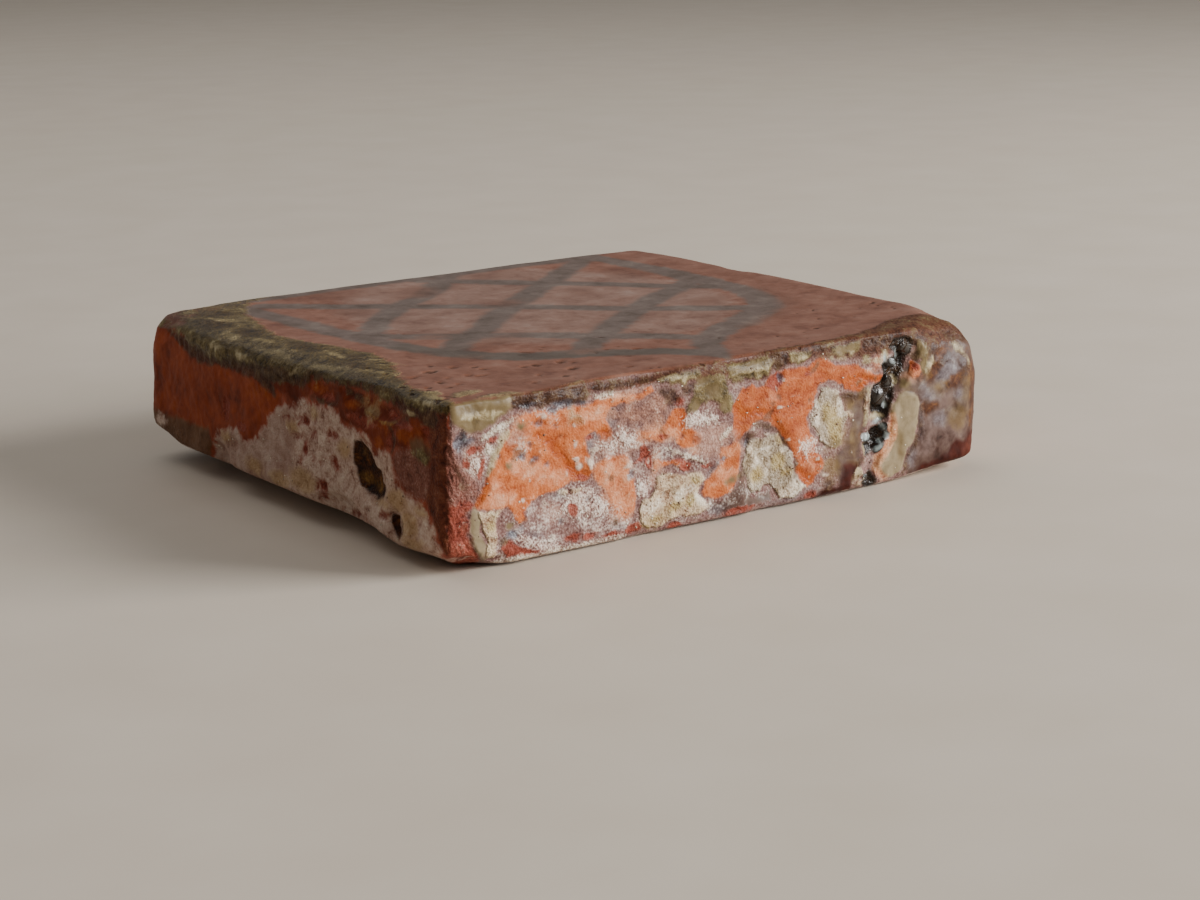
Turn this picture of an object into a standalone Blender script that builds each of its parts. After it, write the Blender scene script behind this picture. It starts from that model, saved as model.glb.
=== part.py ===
# A medieval floor tile: one slab of red earthenware, pressed in a frame, trimmed by hand, fired and worn.
# X runs along the front side, below the point of the shield that is inlaid in the walked-on face.
# Y runs up the shield, and Z runs up from the mortar bed. The origin is the middle of the underside.
# The inlay is flush and differs only in colour, so the solid has the slab's form, its wear and its chips.

import math

import bmesh
import bpy
from mathutils import Matrix, Vector

# Overall sizes, in metres
TILE_WIDTH = 0.1160
TILE_DEPTH = 0.1067
TILE_THICKNESS = 0.0275

# How far each upper corner stands from a true rectangle that starts at the near corner: (X, Y)
RIGHT_CORNER_SKEW = (0.0000, 0.0006)
BACK_CORNER_SKEW = (0.0002, 0.0000)
LEFT_CORNER_SKEW = (0.0004, 0.0000)

# Radius of each upright corner, seen from above
NEAR_CORNER_RADIUS = 0.0016
RIGHT_CORNER_RADIUS = 0.0052
BACK_CORNER_RADIUS = 0.0040
LEFT_CORNER_RADIUS = 0.0045

# The sides were trimmed by hand with a slanted knife, so the foot of each corner stands
# away from the corner above it: (X, Y)
NEAR_FOOT_LEAN = (-0.0013, 0.0000)
RIGHT_FOOT_LEAN = (-0.0006, 0.0002)
BACK_FOOT_LEAN = (-0.0012, -0.0012)
LEFT_FOOT_LEAN = (-0.0012, -0.0002)

# The walked-on face is worn into a shallow dish that is level in the middle
DISH_DEPTH = 0.0004
DISH_RIM = 0.0180

# The underside is level inside this distance from the sides
BED_RIM = 0.0160

# Slow waves that the hand left in the sides: height of a wave and waves around the tile
HAND_WAVE = 0.00028
LONG_WAVES = 7
SHORT_WAVES = 17

# Length of a facet along the sides, and rows of facets
FACET_LENGTH = 0.0031
CORNER_FACETS = 4
SIDE_ROWS = 8
EDGE_ROWS = 3

# A ring of the top or the underside keeps at least this radius at its corners
LEAST_RADIUS = 0.0003

# Wear of the upper edge and of the foot along each side, from its first corner to its last:
# (share of the side, edge run, edge drop, foot run, foot rise)
FRONT_WEAR = (
    (0.00, 0.0018, 0.0014, 0.0058, 0.0042),
    (0.11, 0.0013, 0.0010, 0.0014, 0.0007),
    (0.30, 0.0018, 0.0014, 0.0012, 0.0008),
    (0.55, 0.0012, 0.0009, 0.0010, 0.0008),
    (0.84, 0.0014, 0.0012, 0.0016, 0.0010),
    (1.00, 0.0080, 0.0100, 0.0050, 0.0024),
)
RIGHT_WEAR = (
    (0.16, 0.0034, 0.0028, 0.0024, 0.0014),
    (0.50, 0.0018, 0.0014, 0.0016, 0.0010),
    (0.88, 0.0020, 0.0016, 0.0018, 0.0012),
    (1.00, 0.0032, 0.0026, 0.0034, 0.0018),
)
BACK_WEAR = (
    (0.14, 0.0018, 0.0014, 0.0018, 0.0012),
    (0.50, 0.0022, 0.0017, 0.0024, 0.0014),
    (0.86, 0.0028, 0.0022, 0.0030, 0.0018),
    (1.00, 0.0056, 0.0064, 0.0126, 0.0068),
)
LEFT_WEAR = (
    (0.10, 0.0072, 0.0026, 0.0108, 0.0049),
    (0.24, 0.0074, 0.0026, 0.0106, 0.0048),
    (0.38, 0.0076, 0.0027, 0.0102, 0.0046),
    (0.62, 0.0078, 0.0027, 0.0100, 0.0045),
    (0.76, 0.0064, 0.0024, 0.0094, 0.0042),
    (0.88, 0.0036, 0.0017, 0.0058, 0.0027),
)

# The foot breaks away nearer to a flat slope than to a round one: 0 is round, 1 is flat
FOOT_FLATNESS = 0.75

# Scoops that broke out of the slab: (side, distance from the side's middle towards its last corner,
# height, length, width, depth, turn in degrees, facing in degrees)
# Facing 0 is straight out of the side, 45 is the upper edge and -45 is the foot.
FLAKED_EDGE_CHIP = ("left", 0.0310, TILE_THICKNESS - 0.0040, 0.0220, 0.0062, 0.0009, -4, 20)
RED_EDGE_CHIP = ("left", 0.0145, TILE_THICKNESS - 0.0042, 0.0120, 0.0040, 0.0008, -6, 20)
LEFT_FOOT_NOTCH = ("left", -0.0235, 0.0052, 0.0084, 0.0056, 0.0020, -12, -24)
LEFT_FOOT_ARCH = ("left", 0.0196, 0.0046, 0.0130, 0.0050, 0.0016, 0, -28)
NEAR_FOOT_CHIP = ("front", -0.0510, 0.0012, 0.0110, 0.0036, 0.0009, 8, -40)
FRONT_FOOT_CHIP = ("front", -0.0200, 0.0010, 0.0110, 0.0030, 0.0007, 4, -45)
FRONT_EDGE_CHIP = ("front", -0.0260, TILE_THICKNESS - 0.0012, 0.0240, 0.0044, 0.0010, 2, 40)
FRONT_EDGE_NICK = ("front", 0.0020, TILE_THICKNESS - 0.0009, 0.0130, 0.0036, 0.0008, -3, 42)
ARCHED_HOLLOW = ("front", 0.0065, 0.0066, 0.0116, 0.0176, 0.0010, -8, 0)
UPPER_FISSURE = ("front", 0.0375, 0.0206, 0.0160, 0.0050, 0.0014, 54, 0)
LOWER_FISSURE = ("front", 0.0312, 0.0088, 0.0180, 0.0052, 0.0014, 76, 0)
OVAL_PIT = ("left", 0.0297, 0.0128, 0.0116, 0.0082, 0.0009, -40, 0)
SMALL_PIT = ("left", 0.0382, 0.0058, 0.0048, 0.0036, 0.0007, -75, 0)
RIGHT_EDGE_CHIP = ("right", 0.0160, TILE_THICKNESS - 0.0014, 0.0140, 0.0056, 0.0013, 3, 42)
RIGHT_FOOT_CHIP = ("right", -0.0220, 0.0014, 0.0180, 0.0050, 0.0012, 0, -44)
RIGHT_HOLLOW = ("right", 0.0290, 0.0120, 0.0150, 0.0110, 0.0008, 12, 0)
BACK_EDGE_CHIP = ("back", 0.0240, TILE_THICKNESS - 0.0012, 0.0180, 0.0050, 0.0012, -3, 42)
BACK_FOOT_CHIP = ("back", -0.0120, 0.0014, 0.0120, 0.0052, 0.0014, 0, -44)
BACK_HOLLOW = ("back", -0.0300, 0.0150, 0.0120, 0.0090, 0.0008, -20, 0)
SCOOPS = {
    "flaked_edge_chip": FLAKED_EDGE_CHIP,
    "red_edge_chip": RED_EDGE_CHIP,
    "left_foot_notch": LEFT_FOOT_NOTCH,
    "left_foot_arch": LEFT_FOOT_ARCH,
    "near_foot_chip": NEAR_FOOT_CHIP,
    "front_foot_chip": FRONT_FOOT_CHIP,
    "front_edge_chip": FRONT_EDGE_CHIP,
    "front_edge_nick": FRONT_EDGE_NICK,
    "arched_hollow": ARCHED_HOLLOW,
    "upper_fissure": UPPER_FISSURE,
    "lower_fissure": LOWER_FISSURE,
    "oval_pit": OVAL_PIT,
    "small_pit": SMALL_PIT,
    "right_edge_chip": RIGHT_EDGE_CHIP,
    "right_foot_chip": RIGHT_FOOT_CHIP,
    "right_hollow": RIGHT_HOLLOW,
    "back_edge_chip": BACK_EDGE_CHIP,
    "back_foot_chip": BACK_FOOT_CHIP,
    "back_hollow": BACK_HOLLOW,
}
SCOOP_DETAIL = 3

SIDE_NAMES = ("front", "right", "back", "left")
FOOT_LEANS = (NEAR_FOOT_LEAN, RIGHT_FOOT_LEAN, BACK_FOOT_LEAN, LEFT_FOOT_LEAN)
CORNER_RADII = (NEAR_CORNER_RADIUS, RIGHT_CORNER_RADIUS, BACK_CORNER_RADIUS, LEFT_CORNER_RADIUS)


def tile_corners():
    """The four corners of the upper edge, from the near one, anticlockwise seen from above."""
    near = Vector((0.0, 0.0))
    right = Vector((TILE_WIDTH, 0.0)) + Vector(RIGHT_CORNER_SKEW)
    back = Vector((TILE_WIDTH, TILE_DEPTH)) + Vector(BACK_CORNER_SKEW)
    left = Vector((0.0, TILE_DEPTH)) + Vector(LEFT_CORNER_SKEW)
    corners = (near, right, back, left)
    middle = sum(corners, Vector((0.0, 0.0))) / len(corners)
    return [corner - middle for corner in corners]


CORNERS = tile_corners()


def side_direction(side):
    """Unit vector along a side, from its first corner to its last."""
    return (CORNERS[(side + 1) % 4] - CORNERS[side]).normalized()


def side_normal(side):
    """Unit vector out of a side, seen from above."""
    along = side_direction(side)
    return Vector((along.y, -along.x))


def inset_corner(corner, inset):
    """A corner of the outline after both of its sides have moved in by inset."""
    before = side_normal((corner - 1) % 4)
    after = side_normal(corner)
    return CORNERS[corner] - (before + after) * inset / (1.0 + before.dot(after))


def corner_arc(corner, inset, share):
    """A point of a rounded corner, for share 0 to 1 along its arc."""
    radius = max(CORNER_RADII[corner] - inset, LEAST_RADIUS)
    before = side_normal((corner - 1) % 4)
    after = side_normal(corner)
    centre = inset_corner(corner, inset + radius)
    turn = before.angle(after) * share
    heading = Matrix.Rotation(turn, 2) @ before
    return centre + heading * radius, heading


def wear_stations():
    """The wear stations of the whole outline as (side + share, four sizes), closed on itself."""
    stations = []
    for side, wear in enumerate((FRONT_WEAR, RIGHT_WEAR, BACK_WEAR, LEFT_WEAR)):
        stations += [(side + share, sizes) for share, *sizes in wear]
    stations.append((4.0, stations[0][1]))
    return stations


STATIONS = wear_stations()


def wear_at(place):
    """Edge run, edge drop, foot run and foot rise at place, the side's number plus the share of it."""
    for (start, first), (end, last) in zip(STATIONS, STATIONS[1:]):
        if start <= place <= end:
            share = (place - start) / (end - start)
            ease = share * share * (3.0 - 2.0 * share)
            return [a + (b - a) * ease for a, b in zip(first, last)]
    return list(STATIONS[0][1])


def outline_places():
    """Where the outline has points, as ("corner" or "side", number, share, place)."""
    places = []
    for side in range(4):
        for step in range(CORNER_FACETS + 1):
            places.append(("corner", side, step / CORNER_FACETS, side % 4))
        length = (CORNERS[(side + 1) % 4] - CORNERS[side]).length
        facets = max(4, round(length / FACET_LENGTH))
        for step in range(1, facets):
            places.append(("side", side, step / facets, side + step / facets))
    return places


def outline_point(kind, number, share, inset):
    """The point of the outline at a place, moved in by inset, and the way out from it."""
    if kind == "corner":
        return corner_arc(number, inset, share)
    start, _ = corner_arc(number, inset, 1.0)
    end, _ = corner_arc((number + 1) % 4, inset, 0.0)
    return start.lerp(end, share), side_normal(number)


def foot_lean_at(place):
    """How far the foot stands away from the upper edge at a place, eased between the corners."""
    side = int(place) % 4
    share = place - int(place)
    return Vector(FOOT_LEANS[side]).lerp(Vector(FOOT_LEANS[(side + 1) % 4]), share)


def hand_wave(place, level):
    """Height of the wave in a side at a place, for level 0 at the foot to 1 at the upper edge."""
    turn = 2.0 * math.pi * place / 4.0
    slow = math.sin(LONG_WAVES * turn + 1.3 + 1.8 * level)
    quick = 0.5 * math.sin(SHORT_WAVES * turn + 0.4 - 2.6 * level)
    return HAND_WAVE * (slow + quick)


def profile(place):
    """The slab's section at a place, from the underside over the side to the top: (inset, height, wave)."""
    edge_run, edge_drop, foot_run, foot_rise = wear_at(place)
    section = [(foot_run + BED_RIM, 0.0, 0.0), (foot_run + BED_RIM / 4, 0.0, 0.0)]
    for row in range(EDGE_ROWS):
        turn = math.pi / 2 * row / EDGE_ROWS
        inset = foot_run * (1.0 - math.sin(turn))
        round_height = foot_rise * (1.0 - math.cos(turn))
        flat_height = foot_rise * math.sin(turn)
        height = round_height + (flat_height - round_height) * FOOT_FLATNESS
        section.append((inset, height, hand_wave(place, 0.0) * row / EDGE_ROWS))
    low, high = foot_rise, TILE_THICKNESS - edge_drop
    for row in range(SIDE_ROWS + 1):
        level = row / SIDE_ROWS
        section.append((0.0, low + (high - low) * level, hand_wave(place, level)))
    for row in range(1, EDGE_ROWS + 1):
        turn = math.pi / 2 * row / EDGE_ROWS
        inset = edge_run * (1.0 - math.cos(turn))
        height = high + edge_drop * math.sin(turn)
        section.append((inset, height, hand_wave(place, 1.0) * (1.0 - row / EDGE_ROWS)))
    for share in (0.3, 1.0):
        section.append((edge_run + DISH_RIM * share, TILE_THICKNESS - DISH_DEPTH * share, 0.0))
    return section


def slab_mesh():
    """The slab before anything broke out of it: rings of its section joined around the outline."""
    mesh = bmesh.new()
    columns = []
    for kind, number, share, place in outline_places():
        column = []
        for inset, height, wave in profile(place):
            point, outwards = outline_point(kind, number, share, inset)
            lean = foot_lean_at(place) * (1.0 - height / TILE_THICKNESS)
            point = point + outwards * wave + lean
            column.append(mesh.verts.new((point.x, point.y, height)))
        columns.append(column)
    for here, following in zip(columns, columns[1:] + columns[:1]):
        for row in range(len(here) - 1):
            mesh.faces.new((here[row], following[row], following[row + 1], here[row + 1]))
    mesh.faces.new([column[0] for column in reversed(columns)])
    mesh.faces.new([column[-1] for column in columns])
    data = bpy.data.meshes.new("floor_tile")
    mesh.to_mesh(data)
    mesh.free()
    return data


def scoop_cutter(name, side_name, offset, height, length, width, depth, turn, facing):
    """An egg-shaped cutter that leaves a dish of the given opening and depth in a side."""
    side = SIDE_NAMES.index(side_name)
    along = side_direction(side).to_3d()
    out = side_normal(side).to_3d()
    middle = (CORNERS[side] + CORNERS[(side + 1) % 4]) / 2
    place = middle.to_3d() + along * offset + Vector((0.0, 0.0, height))
    tilt = Matrix.Rotation(math.radians(-facing), 3, along)
    heading = tilt @ out
    spin = Matrix.Rotation(math.radians(turn), 3, heading)
    frame = Matrix((spin @ along, spin @ tilt @ Vector((0.0, 0.0, 1.0)), heading)).transposed()
    # The side meets the egg half-way between its middle and its deepest point, where the egg
    # has this share of its full width
    opening = math.sqrt(1.0 - 0.5 ** 2)
    sizes = Matrix.Diagonal((length / 2 / opening, width / 2 / opening, 2.0 * depth))
    mesh = bmesh.new()
    bmesh.ops.create_icosphere(mesh, subdivisions=SCOOP_DETAIL, radius=1.0)
    bmesh.ops.transform(mesh, matrix=(frame @ sizes).to_4x4(), verts=mesh.verts)
    bmesh.ops.translate(mesh, vec=place + heading * depth, verts=mesh.verts)
    data = bpy.data.meshes.new(name)
    mesh.to_mesh(data)
    mesh.free()
    cutter = bpy.data.objects.new(name, data)
    cutter.hide_render = True
    cutter.display_type = "WIRE"
    bpy.context.scene.collection.objects.link(cutter)
    return cutter


def broken_mesh(slab, cutters):
    """The slab's mesh with every scoop cut out of it."""
    for cutter in cutters:
        cut = slab.modifiers.new(cutter.name, "BOOLEAN")
        cut.operation = "DIFFERENCE"
        cut.object = cutter
    bpy.context.view_layer.update()
    graph = bpy.context.evaluated_depsgraph_get()
    result = bpy.data.meshes.new_from_object(slab.evaluated_get(graph))
    slab.modifiers.clear()
    return result


def centre_on_underside(data):
    """Moves the mesh so that the origin is the middle of its underside."""
    low = [min(vertex.co[axis] for vertex in data.vertices) for axis in range(3)]
    high = [max(vertex.co[axis] for vertex in data.vertices) for axis in range(3)]
    shift = Vector((-(low[0] + high[0]) / 2, -(low[1] + high[1]) / 2, -low[2]))
    data.transform(Matrix.Translation(shift))


def fired_clay():
    """Red earthenware: a dry, rough surface with no metal in it."""
    material = bpy.data.materials.new("fired_clay")
    material.use_nodes = True
    shader = material.node_tree.nodes["Principled BSDF"]
    shader.inputs["Base Color"].default_value = (0.40, 0.13, 0.065, 1.0)
    shader.inputs["Roughness"].default_value = 0.8
    shader.inputs["Metallic"].default_value = 0.0
    return material


def main():
    for item in list(bpy.data.objects):
        bpy.data.objects.remove(item)
    tile = bpy.data.objects.new("floor_tile", slab_mesh())
    bpy.context.scene.collection.objects.link(tile)
    cutters = [scoop_cutter(name, *sizes) for name, sizes in SCOOPS.items()]
    tile.data = broken_mesh(tile, cutters)
    for cutter in cutters:
        bpy.data.objects.remove(cutter)
    centre_on_underside(tile.data)
    tile.data.shade_smooth()
    tile.data.set_sharp_from_angle(angle=math.radians(35))
    tile.data.materials.clear()
    tile.data.materials.append(fired_clay())


main()
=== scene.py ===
# A medieval inlaid floor tile, lifted from its floor: red clay, a shield in worn inlay, lime mortar on its
# sides. Fields below are worked out in millimetres on the tile's own faces. X runs along the front side, Y up
# the shield.

import math

import bmesh
import bpy
import numpy as np
from mathutils import Matrix, Vector
from mathutils.bvhtree import BVHTree


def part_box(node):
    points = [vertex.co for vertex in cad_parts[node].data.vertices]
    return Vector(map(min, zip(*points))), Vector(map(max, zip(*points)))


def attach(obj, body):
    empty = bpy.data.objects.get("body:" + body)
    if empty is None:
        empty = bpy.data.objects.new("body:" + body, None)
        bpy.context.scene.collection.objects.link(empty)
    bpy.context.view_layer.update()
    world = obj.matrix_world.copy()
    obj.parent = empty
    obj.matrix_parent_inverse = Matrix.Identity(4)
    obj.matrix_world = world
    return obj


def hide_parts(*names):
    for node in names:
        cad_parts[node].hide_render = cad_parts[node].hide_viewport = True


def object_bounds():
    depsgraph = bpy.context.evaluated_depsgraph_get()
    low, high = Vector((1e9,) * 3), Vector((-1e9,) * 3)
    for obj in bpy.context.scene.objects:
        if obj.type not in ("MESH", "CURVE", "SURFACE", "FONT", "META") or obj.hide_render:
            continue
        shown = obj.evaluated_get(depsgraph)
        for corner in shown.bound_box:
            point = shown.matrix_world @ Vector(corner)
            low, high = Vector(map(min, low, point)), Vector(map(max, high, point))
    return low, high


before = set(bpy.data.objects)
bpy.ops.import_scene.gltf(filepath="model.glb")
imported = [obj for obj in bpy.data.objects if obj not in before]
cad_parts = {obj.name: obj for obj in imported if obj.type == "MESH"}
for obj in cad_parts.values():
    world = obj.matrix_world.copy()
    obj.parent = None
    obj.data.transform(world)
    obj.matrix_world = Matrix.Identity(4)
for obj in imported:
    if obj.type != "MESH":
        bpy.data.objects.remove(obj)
cad_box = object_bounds()


# The camera. The photograph was taken from the near corner, low over the table, with a short telephoto lens.
# The angles, the distance and the lens come from the tile's own edges in it.
CAMERA_LENS = 73.64
CAMERA_HEADING = math.radians(35.775)
CAMERA_DIP = math.radians(13.606)
CAMERA_ROLL = math.radians(-0.845)
CAMERA_DISTANCE = 0.46365
CAMERA_TARGET = Vector((0.010274, 0.000733, 0.0))

level_ahead = Vector((math.sin(CAMERA_HEADING), math.cos(CAMERA_HEADING), 0.0))
level_right = Vector((math.cos(CAMERA_HEADING), -math.sin(CAMERA_HEADING), 0.0))
ahead = level_ahead * math.cos(CAMERA_DIP) - Vector((0.0, 0.0, math.sin(CAMERA_DIP)))
upright = level_right.cross(ahead)
right = level_right * math.cos(CAMERA_ROLL) + upright * math.sin(CAMERA_ROLL)
upright = upright * math.cos(CAMERA_ROLL) - level_right * math.sin(CAMERA_ROLL)
camera = bpy.data.objects.new("camera", bpy.data.cameras.new("camera"))
camera.data.sensor_width = 36.0
camera.data.lens = CAMERA_LENS
camera.data.clip_start = 0.01
camera.matrix_world = Matrix((right, upright, -ahead)).transposed().to_4x4()
camera.matrix_world.translation = CAMERA_TARGET - ahead * CAMERA_DISTANCE
bpy.context.scene.collection.objects.link(camera)
bpy.context.scene.camera = camera


# The slab. Red earthenware, pressed by hand into a wooden frame and trimmed with a knife, then fired to a
# dull red-brown with clouds where the kiln's air changed. Each later coat is laid over this clay in the same
# material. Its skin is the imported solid's, drawn finely: fine where the photograph looks closely, coarser
# underneath.
WELD = 0.000002
SKIN_GRID = 0.0015
FRONT_STRIP = 0.0035
LEFT_STRIP = 0.00775
DOWNWARD = -0.6

# Where each face stands, in mm: (the two axes along it, the axis out of it, its height on that axis, and how
# far a spot that lies 1 mm back from it moves along it and up it in the photograph). The outlines are drawn
# as seen there
FACES = {
    "front": (0, 2, 1, -53.4, -0.72, 0.30),
    "left": (1, 2, 0, -58.2, -1.39, 0.41),
    "right": (1, 2, 0, 58.3, 0.0, 0.0),
    "back": (0, 2, 1, 53.4, 0.0, 0.0),
    "top": (0, 1, 2, 27.3, 0.0, 0.0),
}
DEEPEST_BACK = 4.0
PATCH_REACH = 5.0
# A field this low, in mm, lays nothing
NOWHERE = -9.0
# Distance from an outline isn't counted beyond this, in mm
FARTHEST = 99.0
# The part of a noise's range from 0 to 1 over which a coat's colours run
TONES_START = 0.32
TONES_SPAN = 0.36
# How fast a shape ends off its face: a glaze line on the top stops at the edge, one on a side follows the
# hollows
FACE_DEPTH = {"front": 0.35, "left": 0.35, "right": 0.35, "back": 0.35, "top": 1.3}


def slab_skin(node):
    """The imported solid's surface as a fine, even skin: finest on the front and left, coarsest below."""
    merged = bmesh.new()
    merged.from_mesh(node.data)
    bmesh.ops.remove_doubles(merged, verts=merged.verts, dist=WELD)
    solid = BVHTree.FromBMesh(merged)
    rough_mesh = bpy.data.meshes.new("clay_slab")
    merged.to_mesh(rough_mesh)
    merged.free()
    slab = bpy.data.objects.new("clay_slab", rough_mesh)
    bpy.context.scene.collection.objects.link(slab)
    remesh = slab.modifiers.new("even_skin", "REMESH")
    remesh.mode = "VOXEL"
    remesh.voxel_size = SKIN_GRID
    bpy.context.view_layer.update()
    even = bpy.data.meshes.new_from_object(slab.evaluated_get(bpy.context.evaluated_depsgraph_get()))
    slab.modifiers.clear()
    skin = bmesh.new()
    skin.from_mesh(even)
    low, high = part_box("floor_tile")
    for all_but_below in (True, False):
        chosen = set()
        for face in skin.faces:
            middle = face.calc_center_median()
            near = middle.y < low[1] + FRONT_STRIP or middle.x < low[0] + LEFT_STRIP
            if near or (all_but_below and face.normal.z > DOWNWARD):
                chosen.update(face.edges)
        bmesh.ops.subdivide_edges(skin, edges=list(chosen), cuts=1, use_grid_fill=True)
    bmesh.ops.triangulate(skin, faces=skin.faces)
    for vertex in skin.verts:
        vertex.co = solid.find_nearest(vertex.co)[0]
    every_axis = {"use_axis_x": True, "use_axis_y": True, "use_axis_z": True}
    for _ in range(3):
        bmesh.ops.smooth_vert(skin, verts=skin.verts, factor=0.5, **every_axis)
    skin.to_mesh(slab.data)
    skin.free()
    slab.data.shade_smooth()
    return slab


def ripple(points, size, seed):
    """Smooth noise from -1 to 1 over points in mm, with lumps of the given size."""
    cells = points / size + seed * 7.31
    base = np.floor(cells).astype(np.int64)
    part = cells - base
    part = part * part * (3.0 - 2.0 * part)
    total = np.zeros(len(points))
    for number in range(8):
        corner = np.array((number & 1, (number >> 1) & 1, number >> 2))
        spot = base + corner
        key = spot[:, 0] * 73856093 ^ spot[:, 1] * 19349663 ^ spot[:, 2] * 83492791 ^ (seed + 11) * 2654435
        key = (key ^ (key >> 13)) * 1274126177
        key = (key ^ (key >> 16)) & 65535
        share = np.where(corner == 1, part, 1.0 - part).prod(axis=1)
        total += share * (key / 32767.5 - 1.0)
    return total


def rough(points, size, seed, layers=3):
    """Noise with finer lumps on its lumps, from about -1 to 1."""
    total = sum(ripple(points, size / 2 ** n, seed + n) * 0.55 ** n for n in range(layers))
    return total / sum(0.55 ** n for n in range(layers))


def step(values, low, high):
    """0 below low, 1 above high and smooth between them."""
    share = np.clip((values - low) / (high - low), 0.0, 1.0)
    return share * share * (3.0 - 2.0 * share)


def on_face(points, face):
    """Points as (along, up, out) of a face, in mm."""
    along, up, out, level, aside, above = FACES[face]
    away = points[:, out] - level
    back = np.clip(away, -DEEPEST_BACK, DEEPEST_BACK)
    return points[:, along] + aside * back, points[:, up] + above * back, away


def patches(points, face, shapes):
    """How far inside the nearest of some oval patches each point is, in mm: (along, up, half sizes, turn)."""
    along, up, out = on_face(points, face)
    inside = np.full(len(points), NOWHERE)
    for middle_along, middle_up, half_along, half_up, turn in shapes:
        tilt = math.radians(turn)
        to_along = along - middle_along
        to_up = up - middle_up
        across = (to_along * math.cos(tilt) + to_up * math.sin(tilt)) / half_along
        height = (to_up * math.cos(tilt) - to_along * math.sin(tilt)) / half_up
        reach = np.sqrt(across ** 2 + height ** 2 + (out / PATCH_REACH) ** 2)
        inside = np.maximum(inside, (1.0 - reach) * min(half_along, half_up))
    return inside


def strokes(points, face, paths):
    """How far inside some drawn lines each point is, in mm: a path is (along, up, half width) points."""
    along, up, out = on_face(points, face)
    depth = out * FACE_DEPTH[face]
    inside = np.full(len(points), NOWHERE)
    for path in paths:
        for (a0, u0, w0), (a1, u1, w1) in zip(path, path[1:]):
            run_along, run_up = a1 - a0, u1 - u0
            share = ((along - a0) * run_along + (up - u0) * run_up) / (run_along ** 2 + run_up ** 2)
            share = np.clip(share, 0.0, 1.0)
            away = (along - a0 - run_along * share) ** 2 + (up - u0 - run_up * share) ** 2
            inside = np.maximum(inside, w0 + (w1 - w0) * share - np.sqrt(away + depth ** 2))
    return inside


def regions(points, face, outlines):
    """How far inside some regions each point is, in mm: an outline is the (along, up) points round it."""
    along, up, out = on_face(points, face)
    inside = np.full(len(points), NOWHERE)
    for outline in outlines:
        away = np.full(len(points), FARTHEST)
        within = np.zeros(len(points), dtype=bool)
        for (a0, u0), (a1, u1) in zip(outline, outline[1:] + outline[:1]):
            run_along, run_up = a1 - a0, u1 - u0
            share = ((along - a0) * run_along + (up - u0) * run_up) / (run_along ** 2 + run_up ** 2)
            share = np.clip(share, 0.0, 1.0)
            away = np.minimum(away, np.hypot(along - a0 - run_along * share, up - u0 - run_up * share))
            if run_up:
                passed = ((up < u0) != (up < u1)) & (along < a0 + (up - u0) * run_along / run_up)
                within ^= passed
        signed = np.where(within, away, -away) - np.abs(out) * FACE_DEPTH[face]
        inside = np.maximum(inside, signed)
    return inside


def paint(code):
    """An sRGB hex colour as the linear colour that a shader takes."""
    parts = [int(code[n:n + 2], 16) / 255.0 for n in (1, 3, 5)]
    return tuple(c / 12.92 if c <= 0.04045 else ((c + 0.055) / 1.055) ** 2.4 for c in parts) + (1.0,)


def add(tree, kind, settings=None, links=None):
    """Adds a node with its settings (its own properties and its sockets' values) and its links."""
    made = tree.nodes.new(kind)
    for name, value in (settings or {}).items():
        if name == "stops":
            ramp = made.color_ramp
            while len(ramp.elements) < len(value):
                ramp.elements.new(0.5)
            for element, (place, code) in zip(ramp.elements, value):
                element.position = place
                element.color = paint(code)
        elif isinstance(name, int) or not hasattr(made, name):
            made.inputs[name].default_value = value
        else:
            setattr(made, name, value)
    for name, source in (links or {}).items():
        tree.links.new(source, made.inputs[name])
    return made


def lay(name, field, pattern, colours, wander=(0.9, 0.25), cover=1.0, roughness=0.55, gloss=0.0, grit=None):
    """Lays a coat over those under it, where its field in mm is above 0. Noise moves its edge over the first
    length, and it fades within the second to each side. Its colours run with the pattern, and so does its
    grit, in mm. A stain has no grit of its own and keeps what is under it."""
    layer = slab.data.attributes.new(name, "FLOAT", "POINT")
    layer.data.foreach_set("value", field.astype(np.float32))
    drawn_field = add(tree, "ShaderNodeAttribute", {"attribute_name": name})
    loose = grainy if pattern is sandy else mottled
    reach, fade = wander
    lying = {0: loose, 2: drawn_field.outputs["Fac"]}
    frayed = add(tree, "ShaderNodeMath", {"operation": "MULTIPLY_ADD", 1: reach}, lying).outputs[0]
    limits = {"interpolation_type": "SMOOTHSTEP", "From Min": -fade, "From Max": fade, "To Max": cover}
    share = add(tree, "ShaderNodeMapRange", limits, {"Value": frayed}).outputs[0]
    between = TONES_SPAN / (len(colours) - 1)
    stops = [(TONES_START + between * n, code) for n, code in enumerate(colours)]
    tone = add(tree, "ShaderNodeValToRGB", {"stops": stops}, {"Fac": pattern})
    both = {0: share, 6: coats["colour"], 7: tone.outputs[0]}
    coats["colour"] = add(tree, "ShaderNodeMix", {"data_type": "RGBA"}, both).outputs[2]
    if grit is not None:
        raised = add(tree, "ShaderNodeMath", {"operation": "MULTIPLY", 1: grit}, {0: pattern}).outputs[0]
        both = {0: share, 2: coats["height"], 3: raised}
        coats["height"] = add(tree, "ShaderNodeMix", {"data_type": "FLOAT"}, both).outputs[0]
    for part, value in (("roughness", roughness), ("gloss", gloss)):
        both = {0: share, 2: coats[part]}
        coats[part] = add(tree, "ShaderNodeMix", {"data_type": "FLOAT", 3: value}, both).outputs[0]


def swell(field, height, edge=(-0.2, 0.4)):
    """Raises the skin by a height in mm, or sinks it by one below 0, where a field in mm is above 0. The
    slope starts and ends where the field has the edge's two values."""
    relief[:] += step(field, *edge) * height


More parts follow.
